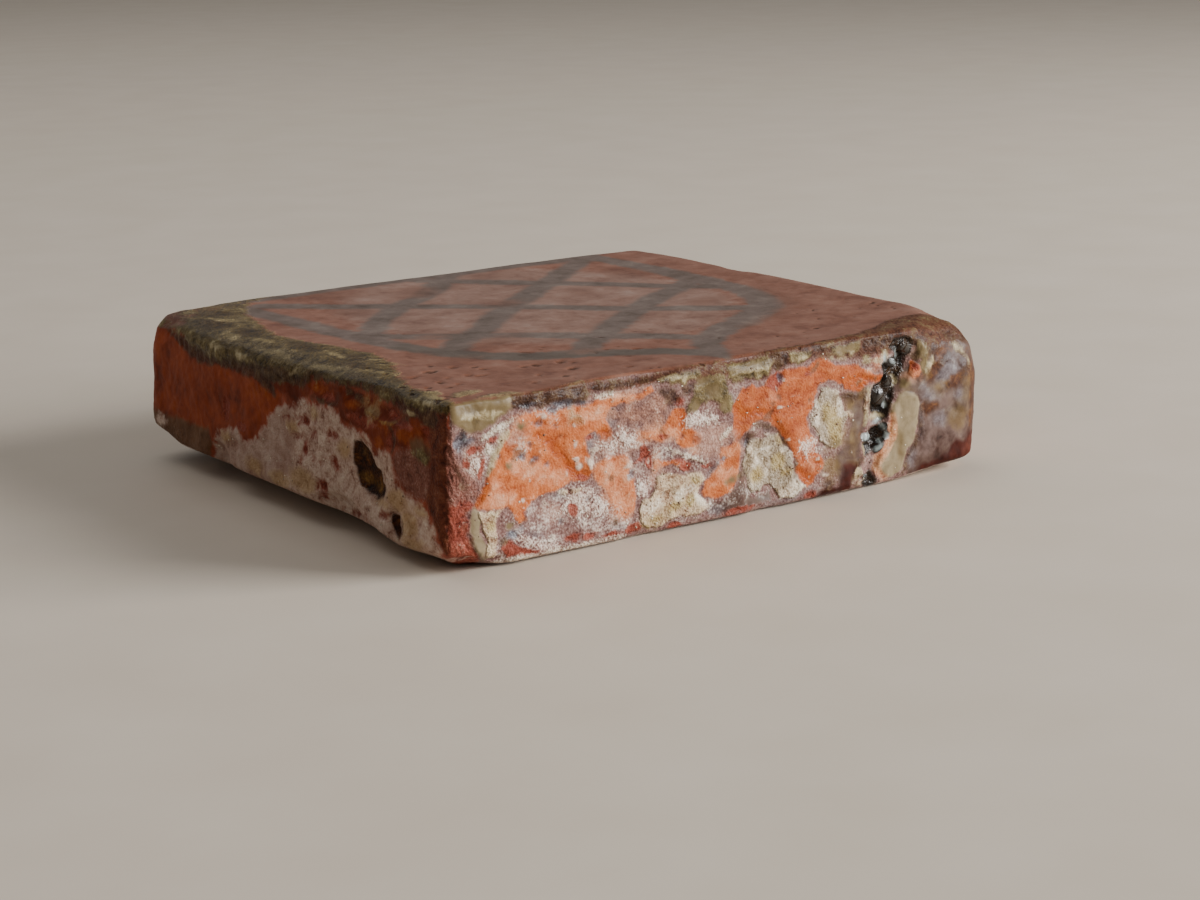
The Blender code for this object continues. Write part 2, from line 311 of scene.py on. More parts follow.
def shifts(*layers):
    """How far the noise of some layers moves each point along X, Y and Z, in mm: (lump size, reach, seed)."""
    axes = (sum(rough(spots, size, seed + axis) * reach for size, reach, seed in layers) for axis in range(3))
    return np.stack(tuple(axes), axis=1)


slab = slab_skin(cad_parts["floor_tile"])
spots = np.empty(len(slab.data.vertices) * 3)
slab.data.vertices.foreach_get("co", spots)
spots = spots.reshape(-1, 3) * 1000.0
facing = np.empty(len(slab.data.vertices) * 3)
slab.data.vertices.foreach_get("normal", facing)
facing = facing.reshape(-1, 3)
# Every outline drawn below wanders by this much, so that no patch keeps a drawn edge
drift = shifts((3.4, 0.45, 31), (1.1, 0.3, 41))
drawn = spots + drift
# How much each point belongs to a side, to the walked-on face or to the underside, by the way it faces
sides = 1.0 - step(np.abs(facing[:, 2]), 0.35, 0.8)
top = step(facing[:, 2], 0.45, 0.85)
under = step(-facing[:, 2], 0.45, 0.85)
# The right and back sides and the underside aren't in the photograph. Noise lays skin, orange clay, lime and
# glaze on the two sides in broad patches, and only lime on the underside
FAR_GLAZE_FOOT = 25.6
shown = -NOWHERE * (1.0 - step(np.maximum(facing[:, 0], facing[:, 1]), 0.3, 0.8))
not_under = -NOWHERE * (1.0 - under)
far_skin = rough(spots, 16.0, 121) * 9.0 + 0.4 - shown
far_orange = rough(spots, 12.0, 123) * 7.0 - 1.6 - shown
far_lime = rough(spots, 12.0, 125) * 9.0 - 0.8 - 0.12 * spots[:, 2] - np.minimum(shown, not_under)
far_edge = spots[:, 2] - FAR_GLAZE_FOOT + 2.4 * rough(spots, 7.0, 127) - shown
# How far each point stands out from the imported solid's surface or lies back from it, in mm: lumps and fine
# grit on the sides, and a rougher foot where the clay met the frame
LUMP_HEIGHT = 0.24
FINE_HEIGHT = 0.10
FOOT_HEIGHT = 0.35
fine = rough(spots, 1.1, 91, 2)
lumps = rough(spots, 4.2, 92)
foot = 1.0 - step(spots[:, 2], 1.0, 4.0)
relief = sides * (LUMP_HEIGHT * (lumps - 0.5) + FINE_HEIGHT * fine)
relief += sides * foot * FOOT_HEIGHT * rough(spots, 2.2, 99, 2)

earthenware = bpy.data.materials.new("inlaid_earthenware")
earthenware.use_nodes = True
tree = earthenware.node_tree
place = add(tree, "ShaderNodeTexCoord").outputs["Object"]
# Sand grains of 0.4 mm, clay mottling of 2 mm and kiln clouds of 7 mm; Blender counts cycles to the metre.
# Real sand is finer, but a finer grain would be lost between the pixels
GRAIN = {"Scale": 1 / 0.0004, "Detail": 1.0, "Roughness": 0.5}
MOTTLE = {"Scale": 1 / 0.0020, "Detail": 3.0, "Roughness": 0.6, "Distortion": 0.4}
CLOUD = {"Scale": 1 / 0.0070, "Detail": 4.0, "Roughness": 0.6}
grain = add(tree, "ShaderNodeTexNoise", GRAIN, {"Vector": place}).outputs["Fac"]
mottle = add(tree, "ShaderNodeTexNoise", MOTTLE, {"Vector": place}).outputs["Fac"]
cloud = add(tree, "ShaderNodeTexNoise", CLOUD, {"Vector": place}).outputs["Fac"]
smeary = add(tree, "ShaderNodeMix", {"data_type": "FLOAT", 0: 0.35}, {2: cloud, 3: mottle}).outputs[0]
clayey = add(tree, "ShaderNodeMix", {"data_type": "FLOAT", 0: 0.30}, {2: mottle, 3: grain}).outputs[0]
sandy = add(tree, "ShaderNodeMix", {"data_type": "FLOAT", 0: 0.50}, {2: mottle, 3: grain}).outputs[0]
mottled = add(tree, "ShaderNodeMath", {"operation": "SUBTRACT", 1: 0.5}, {0: mottle}).outputs[0]
grainy = add(tree, "ShaderNodeMath", {"operation": "SUBTRACT", 1: 0.5}, {0: sandy}).outputs[0]
CLAY_ROUGHNESS = 0.55
CLAY_GRIT = 0.25
CLAY_TONES = ((0.34, "#5e2818"), (0.43, "#823c26"), (0.50, "#934832"), (0.57, "#9c523c"), (0.66, "#a46a54"))
clay_tone = add(tree, "ShaderNodeValToRGB", {"stops": CLAY_TONES}, {"Fac": smeary})
coats = {
    "colour": clay_tone.outputs[0],
    "roughness": add(tree, "ShaderNodeMath", {"operation": "ADD", 0: CLAY_ROUGHNESS, 1: 0.0}).outputs[0],
    "gloss": add(tree, "ShaderNodeMath", {"operation": "ADD", 0: 0.0, 1: 0.0}).outputs[0],
    "height": add(tree, "ShaderNodeMath", {"operation": "MULTIPLY", 1: CLAY_GRIT}, {0: clayey}).outputs[0],
}


# The fired skin of the front. Mauve-brown and full of pale sand grains, and towards the right end a thin
# glaze ran over it, rusty brown where it is thin. Lilac-grey patches over it are painted highlights: bluish
# glints of light on the glossy skin.
FRONT_SIDE = (((-57.2, -2.0), (-57.4, 29.0), (60.0, 29.0), (60.0, -2.0)),)
GLAZED_END = (
    ((41.6, 27.0), (42.4, 22.6), (42.4, 18.4), (41.4, 15.6), (41.6, 11.6), (41.0, 8.6), (39.2, 6.0),
     (38.4, 2.4), (38.0, -1.0), (60.0, -1.0), (60.0, 27.0)),
    ((22.4, 2.0), (21.4, 5.0), (21.8, 8.4), (23.9, 9.2), (24.4, 12.6), (25.2, 14.2), (23.4, 16.2),
     (23.6, 18.2), (28.4, 18.3), (30.4, 17.0), (29.6, 12.0), (28.0, 9.6), (27.8, 6.0), (26.0, 2.4),
     (24.0, 0.4)),
    ((0.6, 7.2), (-0.6, 5.6), (-2.0, 3.6), (-5.4, 3.6), (-6.6, 2.4), (-4.6, 1.2), (3.0, 1.0), (7.6, 1.6),
     (7.4, 3.8), (3.4, 3.4), (2.0, 5.0)),
)
RIGHT_GLAZED_END = (((-60.0, 4.0), (-60.0, 28.0), (-38.0, 26.0), (-42.0, 4.0)),)
# Painted highlights: bluish-grey glints of light, laid as lilac-grey patches
PAINTED_LILAC_GLINTS = (
    (-26.0, 20.9, 1.0, 1.4, 0), (-24.2, 22.2, 1.8, 0.7, 0), (-21.6, 22.6, 1.6, 0.5, 0),
    (-29.4, 18.4, 0.9, 0.5, 0), (-30.6, 17.2, 0.9, 0.7, 0), (-46.0, 5.0, 1.1, 0.6, -20),
    (-44.2, 5.6, 0.7, 0.8, 0), (-54.9, 20.4, 0.7, 1.6, 8), (-4.6, 2.2, 1.7, 0.8, 0),
    (-25.0, 2.8, 0.9, 0.8, 0), (-2.2, 20.9, 0.9, 1.0, 0), (-3.0, 9.4, 0.9, 0.7, 0),
    (6.4, 14.2, 0.9, 0.5, -20), (2.3, 11.2, 0.8, 0.9, 0), (3.9, 9.2, 0.6, 0.9, 0),
    (47.8, 18.8, 2.4, 3.2, -30), (43.8, 15.2, 2.0, 1.2, -14), (42.6, 17.2, 0.9, 1.0, 0),
    (44.6, 21.6, 0.9, 0.6, 0), (51.6, 14.2, 1.6, 1.4, 0), (40.2, 4.0, 0.9, 1.8, 0),
    (41.9, 11.4, 0.4, 2.4, 0), (-36.8, 9.8, 1.6, 0.7, 0), (-42.2, 4.6, 1.4, 0.5, -20),
    (-14.6, 13.6, 1.0, 0.7, -20), (-12.0, 12.7, 1.4, 0.4, -14), (11.0, 1.3, 3.4, 0.5, 6),
    (-52.6, 17.6, 1.2, 1.2, 0), (46.4, 10.4, 2.0, 1.4, 0), (49.6, 11.4, 1.4, 1.2, 10),
)
RUST_STREAKS = (
    ((43.6, 17.8, 0.7), (45.2, 19.8, 1.5), (46.4, 22.0, 1.5), (48.6, 23.4, 1.0)),
    ((42.4, 13.4, 0.8), (43.6, 12.4, 1.2), (45.4, 12.8, 0.8)),
    ((47.8, 15.8, 0.6), (49.8, 16.8, 1.3), (52.0, 17.6, 1.0), (53.6, 17.0, 0.6)),
    ((53.4, 22.0, 0.7), (54.2, 18.0, 0.8), (54.6, 12.0, 0.7), (54.4, 6.0, 0.9)),
    ((44.0, 24.6, 0.6), (46.4, 24.8, 0.7), (48.0, 25.4, 0.5)),
    ((28.6, 16.2, 0.4), (28.4, 13.0, 0.6), (28.0, 10.0, 0.5)),
    ((41.6, 24.6, 0.6), (43.6, 26.2, 0.7), (46.4, 26.6, 0.6)),
)
MAUVE_WASH = (
    (45.6, 9.6, 3.4, 2.6, 10), (50.0, 9.0, 2.6, 3.0, 0), (47.6, 13.4, 2.8, 1.4, 0),
    (43.4, 5.8, 1.8, 1.2, 30), (51.8, 13.4, 1.6, 2.0, 0),
)
OLIVE_STAINS = (
    (20.6, 5.4, 1.8, 2.6, 0), (50.6, 10.4, 2.4, 2.8, 0), (52.8, 14.6, 1.0, 3.0, 0),
    (24.8, 15.6, 1.0, 1.4, 0), (26.0, 3.6, 1.0, 1.6, 0), (25.6, 10.0, 0.8, 2.4, 6),
    (27.4, 17.0, 0.9, 1.2, 0), (46.2, 16.0, 1.4, 0.8, 0), (43.0, 21.4, 1.0, 2.4, 0),
    (40.4, 23.8, 0.8, 1.8, 20), (23.6, 11.0, 0.7, 1.6, 0),
)
# Red clay along the foot, darkened with painted shade where the side meets the floor
RED_FOOT_AND_SHADE = (
    ((39.6, 1.6), (42.0, 2.6), (45.0, 3.6), (48.4, 4.2), (50.4, 6.2), (52.4, 5.6), (53.2, 7.6), (56.0, 8.0),
     (56.0, -1.0), (39.6, -1.0)),
    ((22.6, 2.2), (23.4, 5.6), (25.6, 5.6), (27.4, 5.0), (27.0, 3.6), (25.6, 2.8), (25.4, 0.4), (16.0, 0.2),
     (16.4, 1.4), (20.0, 2.2)),
)
lay("fired_skin", np.maximum(regions(drawn, "front", FRONT_SIDE), far_skin), sandy,
    ("#5e3e3a", "#74544e", "#886a62", "#9a7e74", "#ac9486"), wander=(1.6, 0.4), grit=0.3)
glazed = np.maximum(regions(drawn, "front", GLAZED_END), regions(drawn, "right", RIGHT_GLAZED_END))
lay("glazed_end", glazed, smeary, ("#2e1a12", "#483028", "#5a443a", "#66544a", "#7a6c66"),
    wander=(2.4, 0.6), roughness=0.45, gloss=0.08, grit=0.15)
lay("mauve_wash", patches(drawn, "front", MAUVE_WASH), smeary, ("#5c463e", "#78625a", "#8e786e"),
    wander=(3.4, 1.2), cover=0.8, gloss=0.1)
# Painted highlights: the lilac-grey glints
lilac_glints = patches(drawn, "front", PAINTED_LILAC_GLINTS)
lay("lilac_scum", lilac_glints, clayey, ("#4c4244", "#685e60", "#7c7274", "#94908e"), wander=(2.4, 0.8),
    cover=0.75, gloss=0.05)
rust = strokes(drawn, "front", RUST_STREAKS)
lay("rust_streaks", rust, clayey, ("#28120a", "#4c2812", "#70441e"), wander=(2.0, 0.6), cover=0.9,
    gloss=0.05)
soft_olive = patches(drawn, "front", OLIVE_STAINS)
lay("olive_stains", soft_olive, smeary, ("#54401e", "#705834", "#866c44"), wander=(3.6, 1.2), cover=0.75)
# The red foot and its painted shade
red_foot = regions(drawn, "front", RED_FOOT_AND_SHADE)
lay("red_foot", red_foot, smeary, ("#220804", "#40160c", "#5a2616"), wander=(1.6, 0.6), grit=0.1)
swell(glazed, 0.05, edge=(-0.3, 0.5))
swell(rust, -0.10, edge=(-0.2, 0.3))


# Orange clay. Where the skin of the side broke away long ago, the body below fired to a bright orange: a
# broad field on the left, a paler column in the middle and an arch around the hollow. It is deep orange where
# it was hottest, and peach where lime has soaked in. A deep orange band under the arch's lower edge is
# painted shade, where the arch overhangs the hollow.
ORANGE_CLAY = (
    ((-51.6, 11.6), (-51.0, 13.5), (-50.3, 15.2), (-49.2, 17.0), (-48.3, 19.5), (-47.4, 21.6),
     (-45.8, 22.4), (-44.4, 23.6), (-42.6, 24.3), (-40.0, 24.4), (-38.6, 23.8), (-37.0, 23.6),
     (-35.5, 24.4), (-33.0, 24.4), (-31.5, 24.0), (-29.5, 24.4), (-27.0, 24.8), (-24.0, 24.6),
     (-20.5, 24.8), (-18.2, 25.4), (-17.6, 24.2), (-20.0, 23.6), (-23.5, 23.2), (-26.3, 22.8),
     (-27.4, 21.2), (-27.0, 19.9), (-26.2, 18.6), (-26.6, 17.2), (-28.4, 17.6), (-29.2, 19.4),
     (-30.6, 19.2), (-31.8, 18.6), (-31.2, 17.0), (-30.4, 15.4), (-30.6, 14.2), (-30.0, 13.2),
     (-30.0, 12.0), (-31.4, 11.4), (-34.0, 11.8), (-36.0, 11.2), (-37.6, 10.6), (-40.0, 10.2), (-42.4, 9.6),
     (-43.6, 8.4), (-43.2, 6.8), (-45.0, 6.6), (-45.4, 8.4), (-46.6, 9.6), (-48.6, 9.6), (-50.4, 9.9),
     (-52.4, 10.4)),
    ((-30.0, 13.6), (-27.6, 15.0), (-25.6, 15.2), (-23.4, 15.0), (-22.6, 13.4), (-23.0, 12.0),
     (-22.2, 10.4), (-21.6, 9.0), (-21.4, 7.2), (-21.4, 5.6), (-22.0, 4.6), (-23.4, 4.2), (-24.8, 4.0),
     (-25.9, 4.6), (-26.2, 6.2), (-27.0, 7.6), (-27.8, 9.0), (-28.6, 10.0), (-29.8, 11.0), (-30.2, 12.2)),
    ((-20.4, 18.0), (-18.6, 18.0), (-16.6, 17.6), (-15.4, 18.4), (-14.0, 20.6), (-11.4, 20.6),
     (-10.8, 19.4), (-10.9, 17.0), (-9.6, 16.8), (-8.2, 16.0), (-7.6, 14.6), (-8.8, 13.9), (-10.4, 13.6),
     (-12.8, 14.0), (-13.4, 15.6), (-14.6, 16.2), (-16.4, 15.4), (-18.6, 16.0), (-20.0, 16.8)),
    ((-17.8, 12.9), (-15.8, 12.4), (-13.6, 12.4), (-10.8, 11.6), (-9.4, 10.8), (-10.6, 9.6), (-12.4, 10.6),
     (-14.0, 11.2), (-16.4, 11.2), (-17.6, 10.2), (-18.4, 10.6)),
    ((-8.2, 6.2), (-7.2, 7.6), (-5.6, 8.8), (-4.0, 9.4), (-3.8, 11.0), (-4.0, 12.4), (-2.4, 13.0),
     (-0.2, 13.4), (0.4, 12.0), (0.2, 10.0), (0.0, 8.0), (-0.6, 5.8), (-1.6, 4.8), (-2.8, 4.2), (-4.2, 3.9),
     (-5.6, 4.2), (-7.4, 5.0)),
)
ARCH_CLAY = (
    ((-1.2, 17.0), (-0.8, 19.6), (0.2, 21.6), (1.2, 22.4), (3.2, 22.6), (4.4, 21.8), (6.0, 22.0),
     (6.8, 23.6), (8.6, 24.2), (10.2, 24.6), (12.6, 24.4), (15.6, 24.4), (16.2, 25.2), (18.2, 25.4),
     (20.2, 24.6), (21.4, 23.8), (24.0, 23.6), (26.6, 23.2), (28.4, 22.2), (30.0, 21.2), (32.6, 20.6),
     (33.2, 19.4), (31.4, 18.9), (30.0, 19.6), (28.6, 18.6), (26.4, 18.1), (24.6, 18.3), (23.4, 18.9),
     (21.6, 20.2), (19.8, 20.7), (18.0, 20.2), (16.9, 18.9), (16.8, 17.6), (16.4, 16.4), (15.4, 15.2),
     (15.9, 13.6), (16.2, 12.0), (17.2, 10.6), (17.6, 9.6), (17.0, 8.8), (18.6, 8.2), (19.2, 7.0),
     (18.9, 5.6), (17.6, 4.4), (17.0, 3.2), (15.4, 2.6), (14.4, 3.8), (13.2, 4.6), (12.6, 5.8), (12.7, 7.2),
     (12.0, 8.6), (11.2, 9.8), (10.5, 11.2), (9.2, 12.9), (7.8, 14.4), (6.2, 15.6), (4.8, 16.2),
     (3.4, 16.1), (2.2, 15.2), (1.4, 14.0), (0.4, 13.2), (-0.6, 13.6), (-1.2, 15.2)),
    ((38.2, 22.4), (39.6, 22.6), (40.8, 21.2), (41.8, 19.8), (41.2, 18.6), (39.6, 18.4), (38.2, 19.6)),
)
PEACH = (
    (-49.0, 12.8, 1.6, 1.6, 0), (-48.6, 11.0, 2.6, 1.3, 0), (-44.2, 16.2, 2.0, 1.6, 0),
    (-43.8, 19.4, 1.3, 1.7, 20), (-41.0, 14.8, 2.4, 0.8, 0), (-38.2, 13.2, 2.8, 0.9, -10),
    (-25.4, 9.8, 3.0, 4.6, 0), (-24.4, 6.0, 2.6, 2.8, 0), (-27.4, 12.6, 2.6, 1.6, 0),
    (-37.6, 22.2, 1.2, 1.0, 0), (-45.2, 21.6, 1.2, 1.6, 0), (-44.6, 23.8, 1.4, 0.6, 0),
    (-24.0, 24.5, 3.6, 0.7, 0), (-20.6, 17.0, 1.4, 1.2, 0), (-31.4, 22.4, 4.6, 1.2, 0),
    (-17.6, 17.4, 2.8, 1.5, 0), (-14.2, 17.0, 1.4, 1.4, 0), (-2.0, 11.8, 1.9, 1.0, 0),
    (-3.4, 8.0, 2.2, 1.2, 0), (-34.4, 22.8, 2.2, 0.9, 0), (7.4, 20.2, 0.9, 0.9, 0),
    (-17.5, 12.4, 0.8, 1.5, 0), (16.2, 6.4, 1.4, 0.9, 0), (15.4, 10.2, 1.6, 1.4, 0),
    (31.0, 22.6, 1.2, 1.4, 0), (-24.6, 11.6, 2.0, 2.8, 0), (-9.2, 13.2, 0.9, 0.8, 0),
    (39.6, 19.2, 1.4, 0.6, 0),
)
DEEP_ORANGE_AND_SHADE = (
    ((-41.8, 20.4), (-40.4, 21.0), (-38.2, 20.4), (-36.6, 18.6), (-35.2, 16.6), (-33.8, 14.4),
     (-32.2, 13.4), (-30.6, 13.4), (-30.2, 12.2), (-32.0, 11.6), (-34.4, 11.9), (-35.6, 13.2),
     (-37.0, 15.4), (-38.4, 17.4), (-40.2, 19.0)),
    ((-34.6, 21.8), (-33.0, 22.4), (-31.8, 21.4), (-32.8, 20.4), (-34.2, 20.8)),
    ((-29.0, 19.6), (-27.6, 20.2), (-26.2, 18.9), (-26.6, 17.2), (-28.2, 17.4)),
    ((-13.6, 20.6), (-11.2, 20.6), (-10.9, 18.4), (-11.6, 16.2), (-12.4, 17.6), (-13.2, 19.2)),
    ((-10.2, 15.7), (-8.6, 15.8), (-8.0, 14.6), (-9.4, 14.0), (-10.4, 14.6)),
    ((20.0, 21.6), (23.0, 21.0), (26.0, 21.6), (28.4, 21.0), (30.8, 20.4), (32.8, 20.2), (32.4, 19.2),
     (29.4, 18.8), (26.6, 18.0), (24.0, 18.6), (22.2, 20.0)),
    # Painted shade: the band under the arch's lower edge, where the arch overhangs the hollow
    ((-1.2, 19.6), (0.2, 20.4), (1.4, 18.6), (4.0, 18.4), (5.4, 18.0), (6.6, 17.6), (8.2, 16.4),
     (9.6, 14.6), (11.2, 12.6), (10.6, 11.8), (9.2, 13.8), (7.4, 15.6), (5.2, 16.8), (2.4, 16.8),
     (0.6, 16.4), (-0.8, 17.4)),
    ((12.4, 6.2), (12.8, 7.4), (14.0, 6.6), (15.4, 5.4), (17.4, 4.2), (15.4, 2.8), (14.2, 4.0)),
    ((14.2, 16.6), (16.2, 17.2), (16.4, 16.2), (15.0, 15.8)),
    ((15.8, 7.0), (18.4, 7.6), (18.8, 6.4), (16.6, 6.0)),
    ((-45.0, 10.4), (-43.6, 10.0), (-42.4, 9.4), (-43.0, 10.6), (-44.4, 11.2)),
)
orange = regions(drawn, "front", ORANGE_CLAY)
lay("orange_clay", np.maximum(orange, far_orange), clayey,
    ("#924016", "#ae5a2e", "#bc683a", "#c67446", "#d48c64"), wander=(1.4, 0.3), grit=0.35)
arch = regions(drawn, "front", ARCH_CLAY)
lay("arch_clay", arch, clayey, ("#782e0e", "#984824", "#a8562e", "#b46238", "#c27650"), wander=(1.4, 0.3),
    grit=0.35)
peach = patches(drawn, "front", PEACH)
lay("peach_clay", peach, clayey, ("#bc6e48", "#d28a62", "#d89c78", "#dcb092"), wander=(2.6, 0.9),
    cover=0.65)
# Deep orange clay, and the painted shade under the arch
deep_orange = regions(drawn, "front", DEEP_ORANGE_AND_SHADE)
lay("deep_orange", deep_orange, clayey, ("#6a280a", "#944014", "#a64e1a", "#b4602a"), wander=(1.8, 0.5),
    cover=0.95, roughness=0.45, gloss=0.08)
# Specks of ironstone burnt dark in the clay, about one in each 4 mm
freckles = np.minimum(np.maximum(orange, arch), (rough(spots, 1.7, 105, 2) - 0.46) * 2.0)
lay("iron_freckles", freckles, clayey, ("#4c2a18", "#6e4630", "#80604a"), wander=(0.6, 0.3), cover=0.75)
swell(freckles, -0.12, edge=(-0.1, 0.3))
swell(np.maximum(orange, arch), 0.10 + 0.10 * ripple(spots, 2.6, 93), edge=(-0.3, 0.3))
swell(deep_orange, -0.20, edge=(-0.4, 0.6))


# Red clay. Below the glaze of the left side and in the small fresh breaks the clay is a deeper red, with
# bright orange-red where the edge flaked. At the near corner it tore in upright ridges when the mould was
# lifted.
LEFT_RED = (
    ((-12.0, 26.0), (-12.0, 21.8), (-16.0, 21.6), (-20.6, 21.2), (-21.4, 19.6), (-26.0, 19.2),
     (-30.4, 18.8), (-32.0, 16.6), (-34.0, 16.8), (-36.0, 17.8), (-39.0, 18.4), (-42.0, 18.6),
     (-43.6, 19.8), (-45.0, 20.4), (-47.4, 20.8), (-50.0, 22.4), (-50.4, 25.4), (-40.0, 25.0),
     (-34.0, 25.6), (-24.0, 26.0)),
    ((8.0, 21.6), (-1.0, 20.6), (-5.0, 20.0), (-8.0, 21.2), (-12.0, 21.8), (-12.0, 26.0), (-6.0, 26.6),
     (2.0, 25.6)),
)
LEFT_TERRACOTTA = (
    ((54.6, 27.0), (54.6, 8.0), (24.0, 8.0), (10.0, 8.0), (0.0, 14.0), (-2.0, 21.0), (2.0, 25.6)),
)
LEFT_FLAME = (
    (-43.6, 20.8, 4.4, 1.7, 6), (-45.0, 22.0, 2.6, 0.6, 0), (-36.0, 21.2, 2.4, 0.6, 4),
    (-15.0, 24.2, 3.4, 0.9, 0), (-31.5, 24.4, 3.4, 1.0, 0), (-8.0, 25.4, 2.4, 0.7, 0),
    (-24.6, 22.8, 1.6, 0.8, 0), (-33.0, 18.0, 1.6, 1.0, 0), (6.0, 20.4, 3.0, 1.0, 0),
    (-47.0, 13.2, 1.4, 0.5, 0),
)
LEFT_DEEP_RED = (
    (-28.0, 20.8, 4.2, 1.0, 0), (-37.6, 19.6, 1.2, 2.0, 20), (-40.4, 23.0, 3.6, 1.0, 8),
    (-49.6, 22.8, 2.6, 1.2, 0), (-17.6, 23.0, 2.2, 1.0, 0), (-9.0, 17.5, 3.4, 0.8, -8),
    (-12.0, 15.9, 1.5, 0.9, 22), (-8.8, 12.8, 1.2, 2.4, 24), (-6.4, 14.2, 1.9, 0.5, 0),
    (-11.6, 11.5, 1.6, 0.5, 10), (-19.2, 12.2, 1.5, 1.1, 30), (-14.4, 7.2, 2.1, 1.1, -6),
    (-15.0, 5.6, 1.2, 0.9, 0), (-18.6, 16.8, 1.8, 0.9, 0), (-2.8, 17.0, 1.0, 0.9, 0),
    (-26.0, 4.6, 3.0, 0.6, 0), (19.6, 14.4, 1.4, 2.6, 20), (-34.4, 6.0, 1.4, 0.8, 0),
    (13.4, 12.2, 1.8, 0.8, 0), (41.0, 6.0, 3.0, 1.6, 0),
)
NEAR_CORNER_RED = (
    ((-59.0, 12.4), (-57.4, 12.6), (-56.0, 11.4), (-54.2, 10.6), (-53.4, 8.6), (-54.0, 6.4), (-53.2, 4.4),
     (-52.0, 2.0), (-52.0, -1.0), (-60.0, -1.0)),
    ((-56.4, 12.4), (-54.8, 12.8), (-53.4, 11.6), (-52.4, 10.6), (-54.2, 9.8), (-55.8, 10.6)),
    ((-60.0, 26.0), (-57.2, 25.0), (-56.8, 20.0), (-55.8, 16.4), (-54.6, 12.0), (-60.0, 12.0)),
)
NEAR_CORNER_BACK = ((-53.4, 6.0, 2.0, 7.0, 0),)
FRONT_RED = (
    ((-48.6, 3.0), (-47.6, 4.2), (-45.8, 4.0), (-44.6, 2.8), (-43.2, 2.0), (-40.6, 2.0), (-40.8, 1.0),
     (-43.6, 0.8), (-47.6, 1.2)),
    ((-20.6, 15.6), (-19.0, 15.7), (-18.2, 14.4), (-18.2, 12.4), (-18.4, 11.2), (-19.6, 11.4),
     (-19.8, 12.8), (-22.0, 13.0), (-21.0, 14.0)),
    ((-24.0, 1.6), (-23.0, 2.6), (-21.4, 2.8), (-20.0, 1.8), (-20.4, 0.9), (-23.4, 0.6)),
    ((-16.0, 1.0), (-14.4, 1.8), (-12.8, 1.8), (-11.6, 0.8), (-12.4, 0.2), (-15.6, 0.2)),
    ((6.8, 23.4), (8.6, 24.4), (9.8, 23.2), (9.6, 21.4), (8.4, 20.4), (7.2, 21.2), (6.2, 21.8)),
    ((38.6, 22.2), (40.6, 21.6), (41.4, 20.2), (40.2, 19.6), (38.8, 20.4)),
    ((-9.0, 10.6), (-6.6, 10.6), (-4.6, 9.6), (-5.6, 9.2), (-7.6, 9.4)),
)
FRONT_RED_SPOTS = (
    (-34.1, 7.0, 1.1, 1.2, 0), (-34.2, 2.6, 1.7, 0.8, 0), (-49.7, 20.8, 1.1, 0.4, 24),
    (-52.8, 19.7, 1.4, 0.7, 0), (-26.4, 1.5, 1.6, 0.5, 0), (-12.6, 12.0, 1.3, 0.4, 0),
    (-11.0, 10.7, 1.4, 0.9, 0), (-12.8, 21.8, 1.3, 0.8, -20), (-30.6, 18.6, 0.8, 0.4, 0),
    (-31.0, 2.3, 1.2, 0.5, 0), (0.0, 1.2, 3.0, 0.6, 0), (15.8, 1.3, 1.2, 0.6, 0), (15.0, 22.9, 0.6, 0.5, 0),
    (-51.6, 16.6, 0.5, 1.6, -14), (-56.6, 17.4, 0.8, 0.7, 0), (-16.0, 16.4, 1.0, 0.5, 0),
    (-54.4, 18.0, 0.6, 0.9, 0), (-32.0, 12.2, 1.4, 0.4, -10),
)
left_red = regions(drawn, "left", LEFT_RED)
lay("left_terracotta", np.minimum(regions(drawn, "left", LEFT_TERRACOTTA), shown - 1.0), smeary,
    ("#5c200c", "#803418", "#964220", "#a6522c"), grit=0.3)
lay("left_red", left_red, smeary, ("#421305", "#5e2009", "#70290d", "#803816"), wander=(2.4, 0.6), grit=0.3)
flame = patches(drawn, "left", LEFT_FLAME)
lay("left_flame", flame, clayey, ("#561804", "#82340c", "#944416", "#a25826"), wander=(2.4, 0.8), cover=0.8)
deep_red = np.maximum(patches(drawn, "left", LEFT_DEEP_RED), patches(drawn, "front", FRONT_RED_SPOTS))
deep_red = np.maximum(deep_red, regions(drawn, "front", FRONT_RED))
near_red = np.maximum(regions(drawn, "front", NEAR_CORNER_RED), patches(drawn, "left", NEAR_CORNER_BACK))
lay("near_corner_red", near_red, clayey, ("#4c1a10", "#783628", "#8a4434", "#9c5a48", "#b88474"),
    wander=(2.0, 0.4), grit=0.6)
swell(near_red, -0.12)
swell(deep_red, -0.22 - 0.12 * fine)
# The torn ridges run up the corner and lean a little
RIDGE_SPACING = 0.9
RIDGE_HEIGHT = 0.16
RIDGE_LEAN = 0.34
across_ridges = spots[:, 0] + RIDGE_LEAN * spots[:, 2] + drift[:, 1] * 1.6
swell(near_red, RIDGE_HEIGHT * np.sin(across_ridges * math.tau / RIDGE_SPACING), edge=(-0.5, 0.6))


